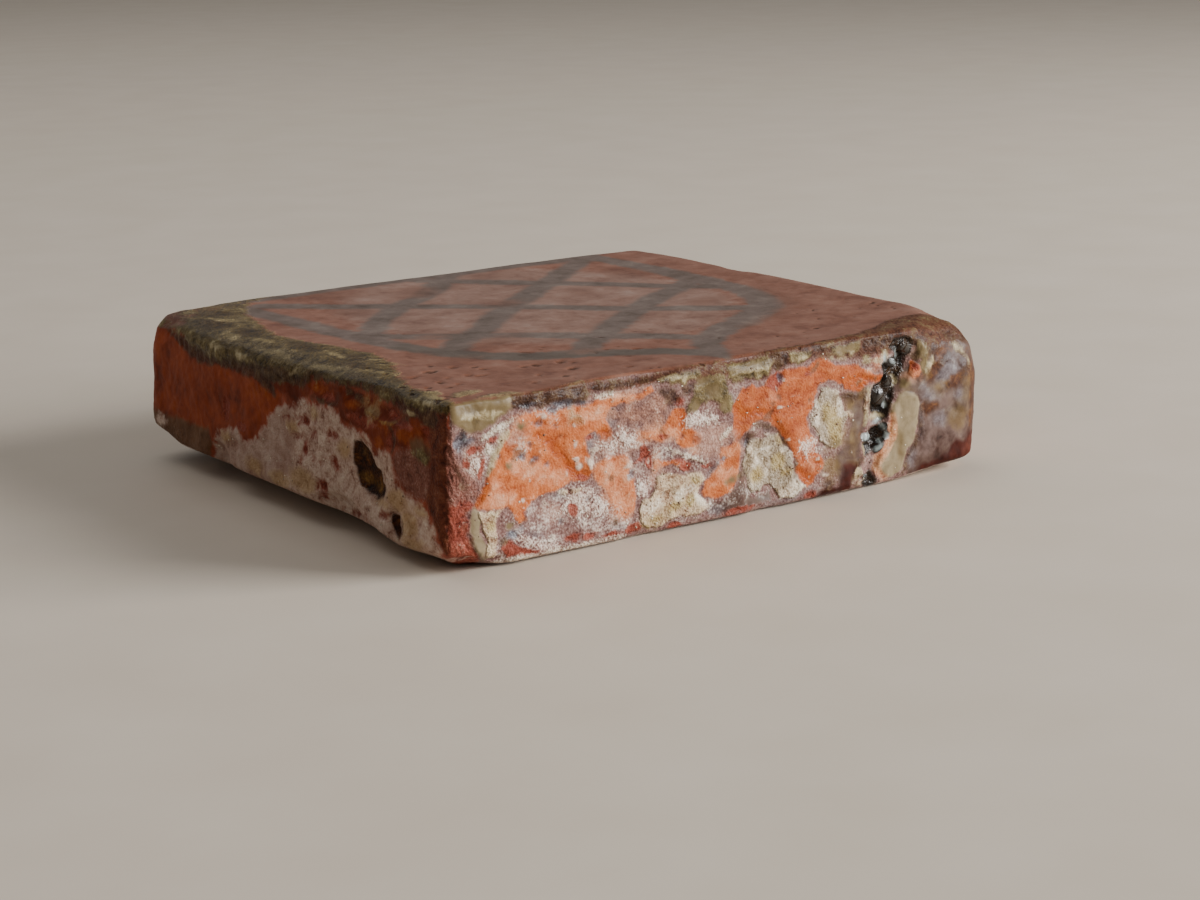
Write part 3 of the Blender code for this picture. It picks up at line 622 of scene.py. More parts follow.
# Lime haze. Water carried lime out of the mortar, and it dried on the clay as a grey-pink bloom, thick and
# white in its middle and thinning to single grains at its edge.
LIME_BLOOM = (
    ((-36.2, 8.4), (-35.4, 9.8), (-34.4, 11.0), (-32.6, 11.2), (-31.0, 10.6), (-30.0, 9.6), (-29.2, 8.2),
     (-27.6, 7.2), (-27.2, 6.0), (-28.6, 5.2), (-30.4, 5.8), (-31.8, 6.0), (-33.0, 5.8), (-35.0, 6.0),
     (-36.6, 7.0)),
    ((-29.0, 17.2), (-28.6, 16.4), (-26.8, 16.2), (-24.8, 16.2), (-23.0, 16.0), (-21.8, 16.4),
     (-22.0, 17.6), (-22.8, 18.4), (-24.0, 18.6), (-25.4, 18.2), (-26.6, 17.0), (-28.0, 17.0)),
    ((-20.8, 7.4), (-19.4, 6.6), (-18.8, 8.0), (-19.6, 9.2), (-20.8, 10.0)),
    ((-10.8, 18.4), (-9.8, 19.6), (-8.2, 19.6), (-7.4, 18.6), (-5.8, 18.8), (-4.4, 18.2), (-4.4, 17.2),
     (-6.4, 17.4), (-8.4, 17.6), (-10.6, 17.4)),
    ((13.9, 8.8), (14.2, 10.4), (15.4, 11.0), (17.0, 10.6), (17.4, 9.4), (15.8, 9.0), (14.6, 8.2)),
    ((-53.6, 18.8), (-52.0, 18.8), (-51.4, 17.0), (-52.2, 16.0), (-53.6, 17.0)),
    ((-44.6, 4.6), (-42.8, 4.0), (-40.6, 2.6), (-37.6, 1.8), (-37.6, 1.0), (-41.0, 1.6), (-43.8, 2.8),
     (-45.4, 4.2)),
)
PINK_HAZE = (
    ((-9.8, 17.0), (-6.0, 17.2), (-3.0, 16.4), (-1.2, 15.6), (-0.4, 14.0), (-1.6, 12.8), (-3.6, 12.6),
     (-5.2, 11.4), (-6.8, 11.2), (-8.4, 12.8), (-8.8, 14.6)),
    ((-18.4, 10.8), (-19.0, 8.6), (-17.6, 8.0), (-16.0, 9.0), (-15.0, 10.6), (-16.8, 11.4)),
    ((-41.0, 7.6), (-38.6, 9.0), (-36.6, 8.4), (-35.4, 6.4), (-38.4, 5.6)),
    ((-47.4, 20.4), (-46.0, 22.2), (-43.8, 22.8), (-42.6, 21.0), (-44.2, 19.6), (-46.2, 19.0)),
    ((-54.8, 20.0), (-52.0, 20.6), (-51.0, 18.6), (-51.8, 16.0), (-53.4, 15.6), (-54.8, 17.4)),
    ((-29.6, 17.6), (-29.6, 15.2), (-26.0, 14.2), (-22.6, 14.0), (-21.0, 15.0), (-21.2, 18.0),
     (-23.6, 19.4), (-26.2, 18.6)),
)
LIME_GRAINS = (
    (-39.2, 7.2, 1.6, 0.9, 0), (-37.0, 6.2, 1.4, 0.8, -20), (-36.6, 9.2, 1.2, 0.8, 0),
    (-41.6, 5.6, 1.2, 0.6, -20), (-38.6, 2.4, 2.0, 0.5, 0), (-50.1, 19.4, 0.6, 0.9, 0),
    (-43.2, 18.7, 0.7, 0.4, -40), (-44.5, 19.9, 0.5, 0.6, 0), (-37.2, 22.4, 0.6, 0.5, 0),
    (-42.6, 8.6, 0.7, 0.5, 0), (-18.6, 22.2, 1.0, 0.6, 0), (-18.4, 20.0, 1.0, 0.5, 0),
    (-17.0, 21.0, 0.8, 0.7, 0), (-26.0, 5.2, 1.2, 1.0, 0), (-39.5, 23.8, 0.7, 0.3, 0),
    (3.0, 4.0, 2.0, 0.6, -14), (-31.6, 4.6, 1.6, 0.7, 0), (29.4, 16.8, 0.5, 0.8, 0),
    (-28.6, 3.8, 1.4, 0.8, 0), (-46.6, 7.4, 0.9, 0.6, 0), (33.0, 22.8, 1.6, 0.6, 0),
    (-24.6, 16.0, 3.0, 1.0, 0), (-15.6, 13.2, 1.8, 0.9, -14), (-10.2, 10.8, 2.0, 0.8, 0),
    (-48.2, 3.0, 0.9, 1.8, 0), (-4.0, 3.0, 2.4, 0.8, 0), (-12.0, 2.6, 2.0, 0.8, 0),
    (-25.6, 3.0, 2.2, 0.8, 0),
)
# The stained edge of the torn corner, and two pebbles of lime that show singly
RIDGE_STAIN = (((-50.4, 14.8, 0.4), (-50.9, 13.2, 0.7), (-51.7, 11.8, 0.6), (-52.4, 10.8, 0.4)),)
PEBBLES = ((-32.8, 14.0, 0.7, 0.6, 0), (-39.5, 23.2, 0.5, 0.4, 0))
SPECKED = (((-56.0, 2.0), (-56.0, 24.0), (4.0, 24.0), (22.0, 20.0), (26.0, 6.0), (20.0, 2.0)),)
bloom = regions(drawn, "front", LIME_BLOOM)
grains = np.maximum(patches(drawn, "front", LIME_GRAINS), bloom * 0.6)
pink = regions(drawn, "front", PINK_HAZE)
lay("pink_haze", pink, clayey, ("#7c584e", "#a07866", "#b48c7a", "#c6a494"), wander=(3.4, 1.2), cover=0.75)
lay("lime_bloom", np.minimum(bloom, 0.5), sandy, ("#a07c70", "#c4a494", "#d8c0b0", "#ecdfd2"),
    wander=(5.6, 0.8), cover=0.9, roughness=0.7, grit=0.5)
lay("lime_grains", np.minimum(grains - 0.3, 0.0), sandy, ("#ac9488", "#c4b0a4", "#d6c8bc", "#e8ded2"),
    wander=(6.0, 1.0), cover=0.6, roughness=0.7)
lay("deep_red", deep_red, clayey, ("#48180e", "#7a3424", "#8e4434", "#a05a48"), wander=(1.4, 0.3),
    cover=0.95, grit=0.6)
# Single lumps of lime, pale and hard, that stand proud of the skin
specks = np.minimum(regions(spots, "front", SPECKED), (rough(spots, 1.5, 107, 2) - 0.58) * 2.0)
specks = np.maximum(specks, patches(spots, "front", PEBBLES))
lay("lime_specks", specks, clayey, ("#a88c78", "#d0bca8", "#e6d8c6"), wander=(0.6, 0.3), cover=0.85,
    roughness=0.7, grit=0.4)
lay("ridge_stain", strokes(drawn, "front", RIDGE_STAIN), clayey, ("#6c2c0a", "#984412", "#ae5a20"),
    wander=(1.2, 0.4))
swell(bloom, 0.08, edge=(-0.3, 0.6))
swell(specks, 0.14, edge=(-0.1, 0.3))


# Lime mortar. The bed and the joints were lime and sand, and what stuck to the tile is a thin, hard, pale
# crust: most of the left side below a wavy line, and a few thicker crusts low on the front, with olive stains
# in them.
LEFT_MORTAR = (
    ((26.4, 6.6), (24.8, 10.4), (19.6, 11.8), (15.8, 12.0), (13.6, 10.8), (11.6, 9.6), (9.0, 10.8),
     (6.4, 12.8), (4.2, 14.2), (3.6, 16.0), (1.6, 17.0), (-0.6, 18.4), (-2.6, 19.4), (-4.6, 19.2),
     (-6.2, 20.7), (-9.6, 20.4), (-12.2, 20.8), (-14.4, 21.3), (-17.6, 21.6), (-20.4, 21.0), (-21.4, 19.6),
     (-23.4, 19.2), (-26.4, 19.0), (-29.6, 18.8), (-31.0, 18.0), (-31.8, 16.4), (-33.4, 16.6),
     (-35.6, 17.4), (-38.0, 16.4), (-37.6, 14.6), (-39.2, 12.2), (-41.6, 11.4), (-44.6, 10.8), (-47.6, 9.4),
     (-49.2, 7.8), (-50.6, 5.8), (-51.6, 4.2), (-52.2, 1.0), (-40.0, -1.0), (24.0, -1.0), (27.0, 3.0)),
)
LEFT_THIN_MORTAR = (
    ((26.0, 3.0), (25.0, 8.6), (21.0, 11.4), (16.0, 13.0), (11.6, 11.0), (6.4, 13.6), (4.0, 16.6),
     (0.0, 19.4), (-5.0, 21.0), (-5.0, 8.0), (4.0, 4.0), (8.0, -1.0), (24.0, -1.0)),
)
LEFT_BUFF = (
    (-38.8, 9.8, 3.2, 1.8, 0), (-42.4, 6.6, 2.4, 2.4, 0), (-46.4, 9.4, 2.2, 0.9, 0),
    (-43.0, 3.6, 3.4, 1.2, 0), (-22.4, 15.0, 1.8, 1.6, 0), (-8.0, 7.0, 4.4, 2.2, 0),
    (0.0, 5.6, 3.4, 1.4, 0), (-34.0, 8.4, 2.4, 0.8, 0), (-4.6, 15.6, 1.8, 1.0, 0), (20.0, 9.6, 2.2, 1.0, 0),
    (-12.4, 19.4, 1.6, 1.0, 0), (9.0, 6.0, 3.0, 1.4, 0),
)
FAR_END_STAIN = (
    ((-43.4, 20.0), (-45.0, 21.4), (-48.0, 21.0), (-49.6, 19.4), (-48.6, 17.0), (-46.0, 16.4),
     (-44.0, 17.6)),
    ((26.4, 9.6), (31.0, 9.6), (36.0, 9.4), (42.0, 9.6), (48.0, 10.0), (56.0, 10.6), (56.0, -1.0),
     (25.0, -1.0)),
)
LEFT_CRUSTS = ((46.0, 8.0, 2.2, 1.3, 0),)
RECESS_LIME = (
    ((0.6, 9.6), (1.2, 11.0), (2.0, 12.8), (3.6, 13.4), (5.4, 13.2), (7.2, 13.8), (8.4, 14.0), (9.4, 12.8),
     (10.4, 11.2), (11.2, 10.0), (11.9, 8.6), (12.2, 7.0), (12.8, 5.6), (13.6, 4.4), (14.8, 3.2),
     (14.0, 2.2), (12.4, 1.3), (10.6, 1.4), (9.0, 1.6), (8.0, 2.4), (7.4, 3.9), (5.6, 4.2), (4.6, 3.4),
     (3.2, 3.6), (2.2, 4.4), (2.0, 6.0), (1.2, 7.4)),
    ((16.7, 16.0), (17.0, 18.4), (18.2, 20.1), (19.6, 20.3), (21.4, 19.4), (23.0, 18.3), (23.2, 16.4),
     (24.2, 14.6), (25.2, 13.8), (24.0, 13.0), (23.8, 11.4), (23.2, 9.4), (21.8, 9.0), (20.4, 8.6),
     (19.4, 9.4), (18.0, 10.6), (17.2, 12.2), (16.3, 13.6), (15.8, 15.0)),
)
FRONT_CRUST = (
    ((-21.0, 4.4), (-20.4, 6.0), (-18.9, 6.4), (-18.0, 7.6), (-17.4, 9.4), (-15.6, 10.6), (-13.6, 10.4),
     (-11.6, 9.6), (-9.8, 9.8), (-8.2, 9.2), (-7.4, 8.0), (-8.4, 6.6), (-9.0, 5.4), (-7.6, 4.2),
     (-6.4, 2.8), (-8.6, 1.8), (-11.2, 1.8), (-12.4, 2.4), (-14.6, 1.6), (-16.4, 0.9), (-19.0, 0.9),
     (-20.4, 2.2)),
    ((-52.4, 9.8), (-47.4, 9.6), (-49.0, 7.4), (-49.0, 5.2), (-49.2, 2.6), (-50.0, 1.2), (-51.4, 2.0),
     (-51.0, 4.4), (-51.6, 6.4)),
)
FRONT_CRUST_SPOTS = (
    (28.8, 15.6, 0.5, 2.6, 4), (28.6, 7.2, 0.6, 1.2, 0), (27.0, 3.4, 1.1, 1.0, 0),
    (-34.0, 10.4, 2.0, 0.5, 0), (27.2, 1.8, 1.2, 0.6, 0), (43.9, 20.3, 0.6, 0.7, 0),
    (24.6, 14.2, 1.0, 0.5, -30),
)
CRUST_STAINS = (
    (-14.0, 4.2, 1.8, 0.9, 8), (-17.4, 2.6, 1.8, 0.8, 0), (-10.6, 4.8, 1.0, 1.0, 0),
    (4.0, 6.8, 1.4, 1.4, 0), (8.6, 8.4, 1.8, 1.8, 10), (9.2, 12.6, 1.2, 1.0, -20),
    (21.6, 12.2, 1.7, 3.6, 4), (19.6, 15.4, 1.2, 1.8, 0), (-50.0, 7.5, 0.9, 1.1, 0),
    (-19.4, 1.6, 1.0, 0.5, 0), (10.6, 6.2, 1.2, 0.8, 0), (-9.6, 8.0, 1.0, 0.8, 0),
)
WHITE_LICKS = (
    ((-51.4, 21.2, 0.3), (-49.4, 22.2, 0.45), (-47.0, 23.3, 0.45), (-45.4, 23.8, 0.2)),
    ((-50.1, 20.0, 0.4), (-50.0, 19.0, 0.45)),
    ((-52.0, 0.9, 0.5), (-46.0, 0.6, 0.4), (-38.0, 0.8, 0.45), (-30.0, 0.8, 0.4), (-24.0, 0.7, 0.3)),
    ((-29.4, 24.8, 0.2), (-27.8, 25.0, 0.45), (-26.4, 25.1, 0.4)),
    ((-15.4, 14.5, 0.15), (-13.6, 13.5, 0.25), (-11.0, 12.5, 0.3), (-8.6, 11.4, 0.35), (-7.0, 10.4, 0.2)),
    ((-9.2, 5.6, 0.4), (-8.0, 4.0, 0.6), (-6.6, 3.0, 0.5)),
    ((-3.4, 14.2, 0.25), (-2.2, 15.0, 0.4), (-1.4, 15.8, 0.25)),
    ((6.8, 11.2, 0.3), (6.3, 8.4, 0.6), (6.0, 5.0, 0.4)),
    ((2.2, 12.0, 0.4), (2.8, 10.8, 0.5)),
    ((3.6, 8.8, 0.6), (4.2, 9.6, 0.5)),
    ((10.0, 10.4, 0.4), (11.0, 9.0, 0.6)),
    ((17.0, 17.6, 0.5), (16.9, 14.8, 0.9), (17.6, 12.4, 0.5), (18.6, 11.0, 0.3)),
    ((21.6, 18.6, 0.5), (22.6, 16.0, 0.6), (22.6, 14.4, 0.5)),
    ((9.6, 2.4, 0.8), (12.4, 3.2, 1.2), (14.4, 3.0, 0.4)),
    ((-20.0, 5.0, 0.6), (-18.4, 4.8, 0.9), (-16.6, 5.4, 0.6)),
    ((-13.0, 5.8, 0.5), (-11.6, 6.8, 0.8), (-10.0, 7.0, 0.5)),
)
left_mortar = regions(drawn, "left", LEFT_MORTAR)
bare_red = patches(drawn, "left", LEFT_DEEP_RED)
left_mortar = np.minimum(left_mortar + 0.3 * rough(spots, 2.4, 71), 0.2 - bare_red)
left_mortar -= 1.3 * step(spots[:, 1], 10.0, 24.0)
left_mortar = np.maximum(left_mortar, patches(drawn, "left", LEFT_CRUSTS))
thin_mortar = np.minimum(regions(drawn, "left", LEFT_THIN_MORTAR), left_mortar)
lay("far_end_stain", np.minimum(regions(drawn, "left", FAR_END_STAIN), shown - 1.0), smeary,
    ("#38200e", "#5e422c", "#70543c", "#806650"), wander=(2.4, 0.8), cover=0.9)
lay("left_mortar", np.maximum(left_mortar, far_lime), clayey,
    ("#7a5444", "#a88878", "#bca090", "#c8b0a0", "#d4c2b2"), wander=(3.4, 0.8), roughness=0.8, grit=0.7)
lay("thin_mortar", thin_mortar, smeary, ("#76503e", "#9a786a", "#b09486", "#c2ab9e"), wander=(3.4, 1.0),
    cover=0.8, roughness=0.8)
lay("left_buff", np.minimum(patches(drawn, "left", LEFT_BUFF), left_mortar), clayey,
    ("#7c5c36", "#a8865c", "#bc9e78"), wander=(2.4, 0.8), cover=0.75, roughness=0.7)
crust = np.maximum(regions(drawn, "front", FRONT_CRUST), patches(drawn, "front", FRONT_CRUST_SPOTS))
lay("front_crust", crust, clayey, ("#785842", "#a4866a", "#c0a88a", "#d4be9c", "#e6d6b8"),
    wander=(1.4, 0.3), roughness=0.75, grit=0.8)
recess_lime = regions(drawn, "front", RECESS_LIME)
lay("recess_lime", recess_lime, clayey, ("#645440", "#8c7a62", "#a4947e", "#b8aa96", "#d0c6b6"),
    wander=(1.4, 0.3), roughness=0.75, grit=0.8)
crust = np.maximum(crust, recess_lime)
stain = np.minimum(patches(drawn, "front", CRUST_STAINS), crust + 0.2)
lay("crust_stain", stain, clayey, ("#786038", "#947c4c", "#a89260", "#b8a67c"), wander=(2.0, 0.6),
    cover=0.85)
white = strokes(drawn, "front", WHITE_LICKS)
lay("white_licks", white, sandy, ("#a88c70", "#ccb8a0", "#e0d2bc", "#f0e6d4"), wander=(1.6, 0.4), cover=0.8,
    roughness=0.65, grit=0.5)
swell(left_mortar, 0.10 + 0.16 * rough(spots, 1.9, 94, 2))
swell(crust, 0.14 + 0.22 * rough(spots, 1.6, 100, 2))
swell(white, 0.10, edge=(-0.15, 0.3))


# Buff slip. Tongues of the pale slip for the inlay dried on the side: a thick one beside the fissure, with an
# orange rim, and a thin one low at the near corner.
BUFF_FLAKE = (
    ((36.0, 16.2), (38.4, 16.6), (40.8, 16.0), (41.4, 14.0), (41.3, 12.0), (41.0, 8.0), (40.0, 6.4),
     (38.8, 5.6), (38.2, 3.2), (37.0, 1.8), (35.4, 1.0), (33.5, 1.2), (31.8, 2.6), (30.6, 4.4), (32.0, 6.0),
     (34.0, 8.0), (34.6, 11.0), (34.0, 13.6)),
)
BUFF_SMEARS = ((-52.9, 7.8, 0.9, 2.6, 0), (-52.3, 4.2, 0.9, 2.2, 18))
FLAKE_SHADES = (
    (36.8, 8.0, 0.8, 1.8, 20), (34.4, 13.4, 0.8, 1.2, 0), (37.4, 17.0, 1.6, 0.9, 0),
    (37.0, 5.6, 0.8, 1.0, 0),
)
FLAKE_RIM = (
    ((34.6, 12.8, 0.5), (34.9, 10.8, 0.9), (34.8, 9.2, 1.0), (33.6, 7.2, 0.9), (31.9, 5.4, 0.9),
     (31.0, 3.8, 0.8), (32.2, 2.4, 0.7), (33.6, 1.4, 0.5)),
)
# Painted shadow along the flake's right and lower edge, where it stands proud; it is laid with the brown
# glaze
FLAKE_EDGE_SHADOW = (
    ((41.9, 13.4, 0.4), (41.8, 9.0, 0.7), (40.7, 6.4, 0.7), (38.9, 4.8, 0.7), (38.4, 2.6, 0.6),
     (37.6, 1.0, 0.5)),
)
flake = np.maximum(regions(drawn, "front", BUFF_FLAKE), patches(drawn, "front", BUFF_SMEARS))
lay("buff_flake", flake, smeary, ("#685238", "#847458", "#948468", "#a69478"), wander=(1.0, 0.25),
    roughness=0.55, grit=0.2)
shade = np.minimum(patches(drawn, "front", FLAKE_SHADES), flake + 0.3)
lay("flake_shade", shade, smeary, ("#5c4828", "#74603e", "#84704a"), wander=(2.0, 0.8), cover=0.8)
rim = strokes(drawn, "front", FLAKE_RIM)
lay("flake_rim", rim, clayey, ("#a05c3c", "#c8845a", "#dca47a", "#e6b896"), wander=(1.4, 0.5), cover=0.9,
    grit=0.3)
# The flake's painted edge shadow
edge = strokes(drawn, "front", FLAKE_EDGE_SHADOW)
swell(flake, 0.30 + 0.08 * lumps, edge=(-0.1, 0.35))
swell(rim, -0.08)


# The walked-on face and its inlay. A shield with a fret of six crossing bands was stamped into the wet clay
# and filled with white slip. The slip is flush, and under the worn glaze it has turned grey-brown.
SHIELD_OUTLINE = (
    (-41.5, 50.0, 2.6), (-41.0, 30.0, 2.8), (-40.0, 16.0, 2.9), (-38.8, 4.0, 2.9), (-37.4, -8.0, 2.9),
    (-34.6, -17.0, 2.9), (-30.4, -23.6, 2.9), (-25.0, -28.2, 2.9), (-18.6, -31.4, 3.0), (-12.0, -34.4, 3.0),
    (-6.4, -38.4, 2.8), (-2.6, -43.6, 2.6), (-0.8, -50.6, 1.6), (1.0, -45.0, 2.6), (4.0, -39.6, 2.8),
    (9.0, -34.2, 3.0), (15.6, -30.0, 3.2), (23.0, -26.4, 3.3), (30.4, -21.8, 3.4), (36.4, -16.4, 3.4),
    (40.8, -9.4, 3.4), (43.2, -1.0, 3.2), (44.4, 10.0, 3.2), (44.8, 24.0, 3.0), (44.4, 40.0, 2.8),
    (43.0, 50.0, 2.6),
)
SHIELD_HEAD = ((-43.0, 49.6, 2.4), (0.0, 50.4, 2.6), (44.0, 49.8, 2.4))
RISING_BANDS = (
    ((-37.0, 5.0, 2.7), (-26.7, 17.3, 2.7), (-18.3, 25.7, 2.7), (-10.0, 31.7, 2.7), (-1.7, 39.0, 2.7),
     (8.0, 49.0, 2.6)),
    ((-34.0, -17.0, 2.7), (-27.0, -10.0, 2.8), (-18.3, -3.5, 2.8), (-12.5, 2.3, 2.8), (-5.8, 9.0, 2.8),
     (0.8, 14.6, 2.8), (10.8, 22.8, 2.7), (19.2, 29.6, 2.7), (27.5, 37.0, 2.7), (40.0, 48.0, 2.6)),
    ((-16.4, -31.0, 2.8), (-8.3, -23.5, 2.8), (0.0, -16.8, 2.8), (9.2, -9.3, 2.8), (17.5, -3.0, 2.8),
     (26.7, 3.8, 2.7), (34.2, 8.4, 2.7), (43.0, 14.0, 2.6)),
)
FALLING_BANDS = (
    ((-39.0, 8.0, 2.4), (-33.0, 1.0, 2.5), (-24.0, -5.6, 2.5), (-13.3, -13.6, 2.5), (-6.0, -20.0, 2.5),
     (1.7, -27.0, 2.5), (7.4, -33.4, 2.4)),
    ((-37.0, 43.0, 2.4), (-26.0, 33.6, 2.4), (-13.3, 23.6, 2.5), (-5.8, 17.0, 2.5), (3.3, 8.6, 2.5),
     (10.8, 1.0, 2.5), (19.0, -6.4, 2.5), (28.0, -14.2, 2.5), (36.0, -19.0, 2.4)),
    ((0.0, 48.0, 2.4), (8.0, 40.4, 2.4), (15.0, 33.6, 2.5), (23.3, 26.0, 2.5), (30.0, 18.6, 2.5),
     (36.6, 11.0, 2.5), (43.0, 4.0, 2.4)),
)
BROWN_POOLS = (
    (-27.0, 27.0, 3.0, 4.0, 20), (-22.0, -13.0, 6.0, 2.6, 24), (0.0, 17.0, 4.0, 3.4, 0),
    (-28.6, -3.0, 3.0, 2.4, 0), (19.0, 18.0, 2.4, 4.0, -40), (-5.0, 39.0, 3.0, 4.0, -30),
    (-8.0, 36.0, 4.0, 3.0, 0), (30.0, -6.0, 4.0, 2.6, 30), (-14.6, -30.4, 2.6, 1.8, 0),
    (38.0, 30.0, 4.0, 6.0, 0), (-20.0, 44.0, 6.0, 4.0, 0), (14.0, 44.0, 5.0, 3.0, 0),
    (-38.6, -17.0, 1.6, 2.4, 0), (-7.0, -31.0, 2.0, 1.2, 20), (-36.0, -23.0, 3.0, 1.4, 0),
)
# Painted sheen: the middle and far part of the face made lighter and greyer, as the grey sheen on the glaze
SHEEN_MIDDLE = ((4.0, 12.0, 36.0, 40.0, 0),)
RUSTY_LINE = (
    (20.0, -31.0, 0.6), (27.0, -28.0, 1.2), (34.0, -24.4, 1.4), (40.4, -18.0, 1.3), (44.6, -11.0, 1.0),
    (47.0, -2.0, 0.7),
)
laid = spots + shifts((9.0, 0.7, 51), (2.2, 0.3, 61))
inlay = strokes(laid, "top", [SHIELD_OUTLINE, SHIELD_HEAD, *RISING_BANDS, *FALLING_BANDS])
pools = np.maximum(patches(laid, "top", BROWN_POOLS), strokes(laid, "top", [RUSTY_LINE]))
dark_outline = np.minimum(strokes(laid, "top", [SHIELD_OUTLINE[4:12]]), 1.0)
lay("walked_face", top * 2.0 - 1.0, smeary, ("#5e3424", "#764a38", "#835846", "#8c6656"), wander=(0.2, 0.5),
    roughness=0.5, gloss=0.25, grit=0.14)
# The painted sheen over the middle of the face
painted_sheen = np.minimum(patches(laid, "top", SHEEN_MIDDLE), 3.0)
lay("worn_middle", painted_sheen, smeary, ("#6c4a3c", "#7e5e50", "#8a6c5e", "#947a6e"), wander=(6.0, 3.0), cover=0.8,
    roughness=0.45, gloss=0.25)
lay("inlay", inlay, smeary, ("#44362c", "#594b42", "#665850", "#76685e"), wander=(2.4, 0.9), cover=0.92,
    roughness=0.5, gloss=0.25, grit=0.14)
lay("dark_outline", dark_outline, smeary, ("#40342a", "#50443a", "#5e5046"), wander=(2.4, 1.2), cover=0.7,
    gloss=0.25)
lay("brown_pools", pools, smeary, ("#542e1e", "#6c4330", "#7a503c"), wander=(5.0, 2.2), cover=0.6,
    roughness=0.4, gloss=0.3)
relief += top * (0.10 * ripple(spots, 11.0, 96) + 0.04 * ripple(spots, 4.0, 97))


# Lead glaze. It pooled along the upper edges, where it stays thick, glossy and olive, grey-green where it
# decayed and dark brown where it ran over iron, and it ran down the sides in short drips. Cream streaks are
# glaze over slip. Some of the dark brown lines are painted shadow, under the glaze lip on the left side and
# along the flake's edge.
GLAZE_STRIP = (
    ((-18.0, 60.0), (-20.0, 54.0), (-28.0, 51.6), (-36.0, 48.6), (-40.0, 44.0), (-43.0, 38.0),
     (-45.0, 32.0), (-46.6, 26.0), (-48.6, 20.0), (-49.6, 15.0), (-48.6, 10.0), (-47.6, 5.0), (-46.4, 0.0),
     (-45.6, -6.0), (-44.6, -11.0), (-45.4, -15.0), (-46.6, -20.0), (-48.6, -24.0), (-50.4, -28.0),
     (-52.2, -32.0), (-54.0, -36.0), (-54.6, -40.0), (-53.6, -44.0), (-54.6, -48.0), (-55.0, -56.0),
     (-70.0, -56.0), (-70.0, 60.0)),
)
# Where the strip ends down the left side: (y, z)
GLAZE_FOOT = (
    (-56.0, 25.4), (-48.0, 25.0), (-42.0, 25.6), (-36.0, 25.8), (-30.0, 25.4), (-22.0, 25.6), (-16.0, 25.0),
    (-11.0, 24.8), (-7.0, 23.8), (-3.0, 23.0), (1.0, 22.2), (6.0, 22.8), (12.0, 23.2), (18.0, 22.8),
    (24.0, 22.6), (30.0, 22.8), (34.0, 24.0), (38.0, 25.6), (44.0, 27.0), (56.0, 27.4),
)
STRIP_LICKS = (
    (-55.4, -47.0, 1.0, 3.4, 0), (-52.0, -24.0, 0.6, 4.0, 12), (-55.0, -12.0, 0.8, 5.0, 8),
    (-50.0, -6.0, 0.7, 4.0, -8), (-55.6, 4.0, 0.9, 5.0, 0), (-53.0, 14.0, 0.7, 3.6, 10),
    (-54.6, 24.0, 0.9, 4.0, 0), (-50.0, 34.0, 1.2, 4.0, 20), (-47.0, -17.0, 0.5, 3.0, 14),
    (-57.0, -30.0, 0.7, 3.0, 0),
)
STRIP_BROWN = (
    (-52.6, -17.0, 2.2, 4.0, 0), (-49.6, -11.0, 2.0, 4.4, 8), (-50.6, 3.0, 1.8, 5.0, 0),
    (-53.0, -34.0, 1.2, 3.0, 0), (-56.0, -22.0, 1.4, 3.4, 0), (-51.6, 21.0, 2.0, 4.0, 0),
    (-53.0, 33.0, 2.4, 5.0, 0), (-48.0, 41.0, 3.0, 4.0, 30), (-57.6, -40.0, 1.2, 5.0, 0),
    (-57.8, 10.0, 1.2, 5.0, 0),
)
CORNER_SCUM = (
    (-50.4, -47.6, 2.8, 1.6, 20), (-46.4, -51.4, 3.0, 0.9, 0), (-54.2, -44.6, 1.2, 1.8, 0),
    (-32.6, -52.4, 1.6, 0.7, 30),
)
OLIVE_WEDGE = (
    ((-57.4, 28.0), (-45.8, 28.0), (-45.4, 25.6), (-46.2, 24.9), (-49.2, 23.7), (-51.6, 22.3),
     (-53.4, 22.4), (-55.2, 23.4), (-56.4, 24.2), (-57.2, 25.4)),
)
GREEN_GLAZE = (
    ((-11.2, 21.0), (-10.2, 22.4), (-9.4, 23.2), (-8.2, 24.8), (-6.4, 25.4), (-4.2, 25.2), (-2.4, 24.8),
     (-1.6, 23.2), (-1.8, 21.8), (-1.0, 20.4), (-1.4, 18.6), (-2.8, 17.8), (-3.4, 19.4), (-4.6, 20.6),
     (-6.6, 20.9), (-8.4, 20.2), (-10.2, 19.4), (-11.4, 19.9)),
    ((-17.2, 26.7), (-8.0, 27.0), (-7.6, 25.4), (-10.0, 25.0), (-14.0, 25.0), (-16.4, 25.4)),
    ((-3.2, 27.2), (6.6, 27.2), (7.2, 25.2), (6.6, 23.9), (4.0, 23.4), (0.6, 23.4), (-2.0, 24.0)),
    ((10.8, 27.0), (16.6, 27.0), (16.2, 25.4), (14.4, 24.7), (12.2, 24.7), (11.0, 25.4)),
    ((19.6, 27.4), (27.4, 27.2), (27.6, 25.4), (25.6, 24.6), (22.6, 24.8), (20.4, 25.4)),
    ((28.0, 24.6), (30.0, 24.6), (29.6, 22.6), (28.2, 22.8)),
    ((41.6, 24.6), (43.2, 25.0), (43.4, 22.0), (42.6, 19.0), (41.8, 19.4)),
)
OLIVE_POOLS = (
    (2.6, 25.6, 3.2, 0.7, 6), (-9.3, 20.6, 1.2, 1.1, 0), (-5.6, 22.6, 1.6, 1.4, 0),
    (23.6, 26.0, 2.6, 0.8, 0), (-3.0, 19.6, 0.8, 1.0, 0), (37.4, 18.0, 1.2, 0.8, 0),
    (41.4, 24.0, 1.0, 1.4, 0), (21.4, 9.4, 1.2, 0.6, 0), (-46.8, 16.2, 0.5, 0.4, 0),
    (-7.0, 24.6, 1.6, 0.6, 0), (-1.4, 6.8, 1.2, 0.5, 0), (-46.6, 6.8, 0.8, 0.7, 0),
    (-43.8, 22.4, 0.8, 0.5, 0), (42.2, 21.4, 0.6, 1.6, 0), (-55.2, 26.2, 1.4, 0.7, 0),
)
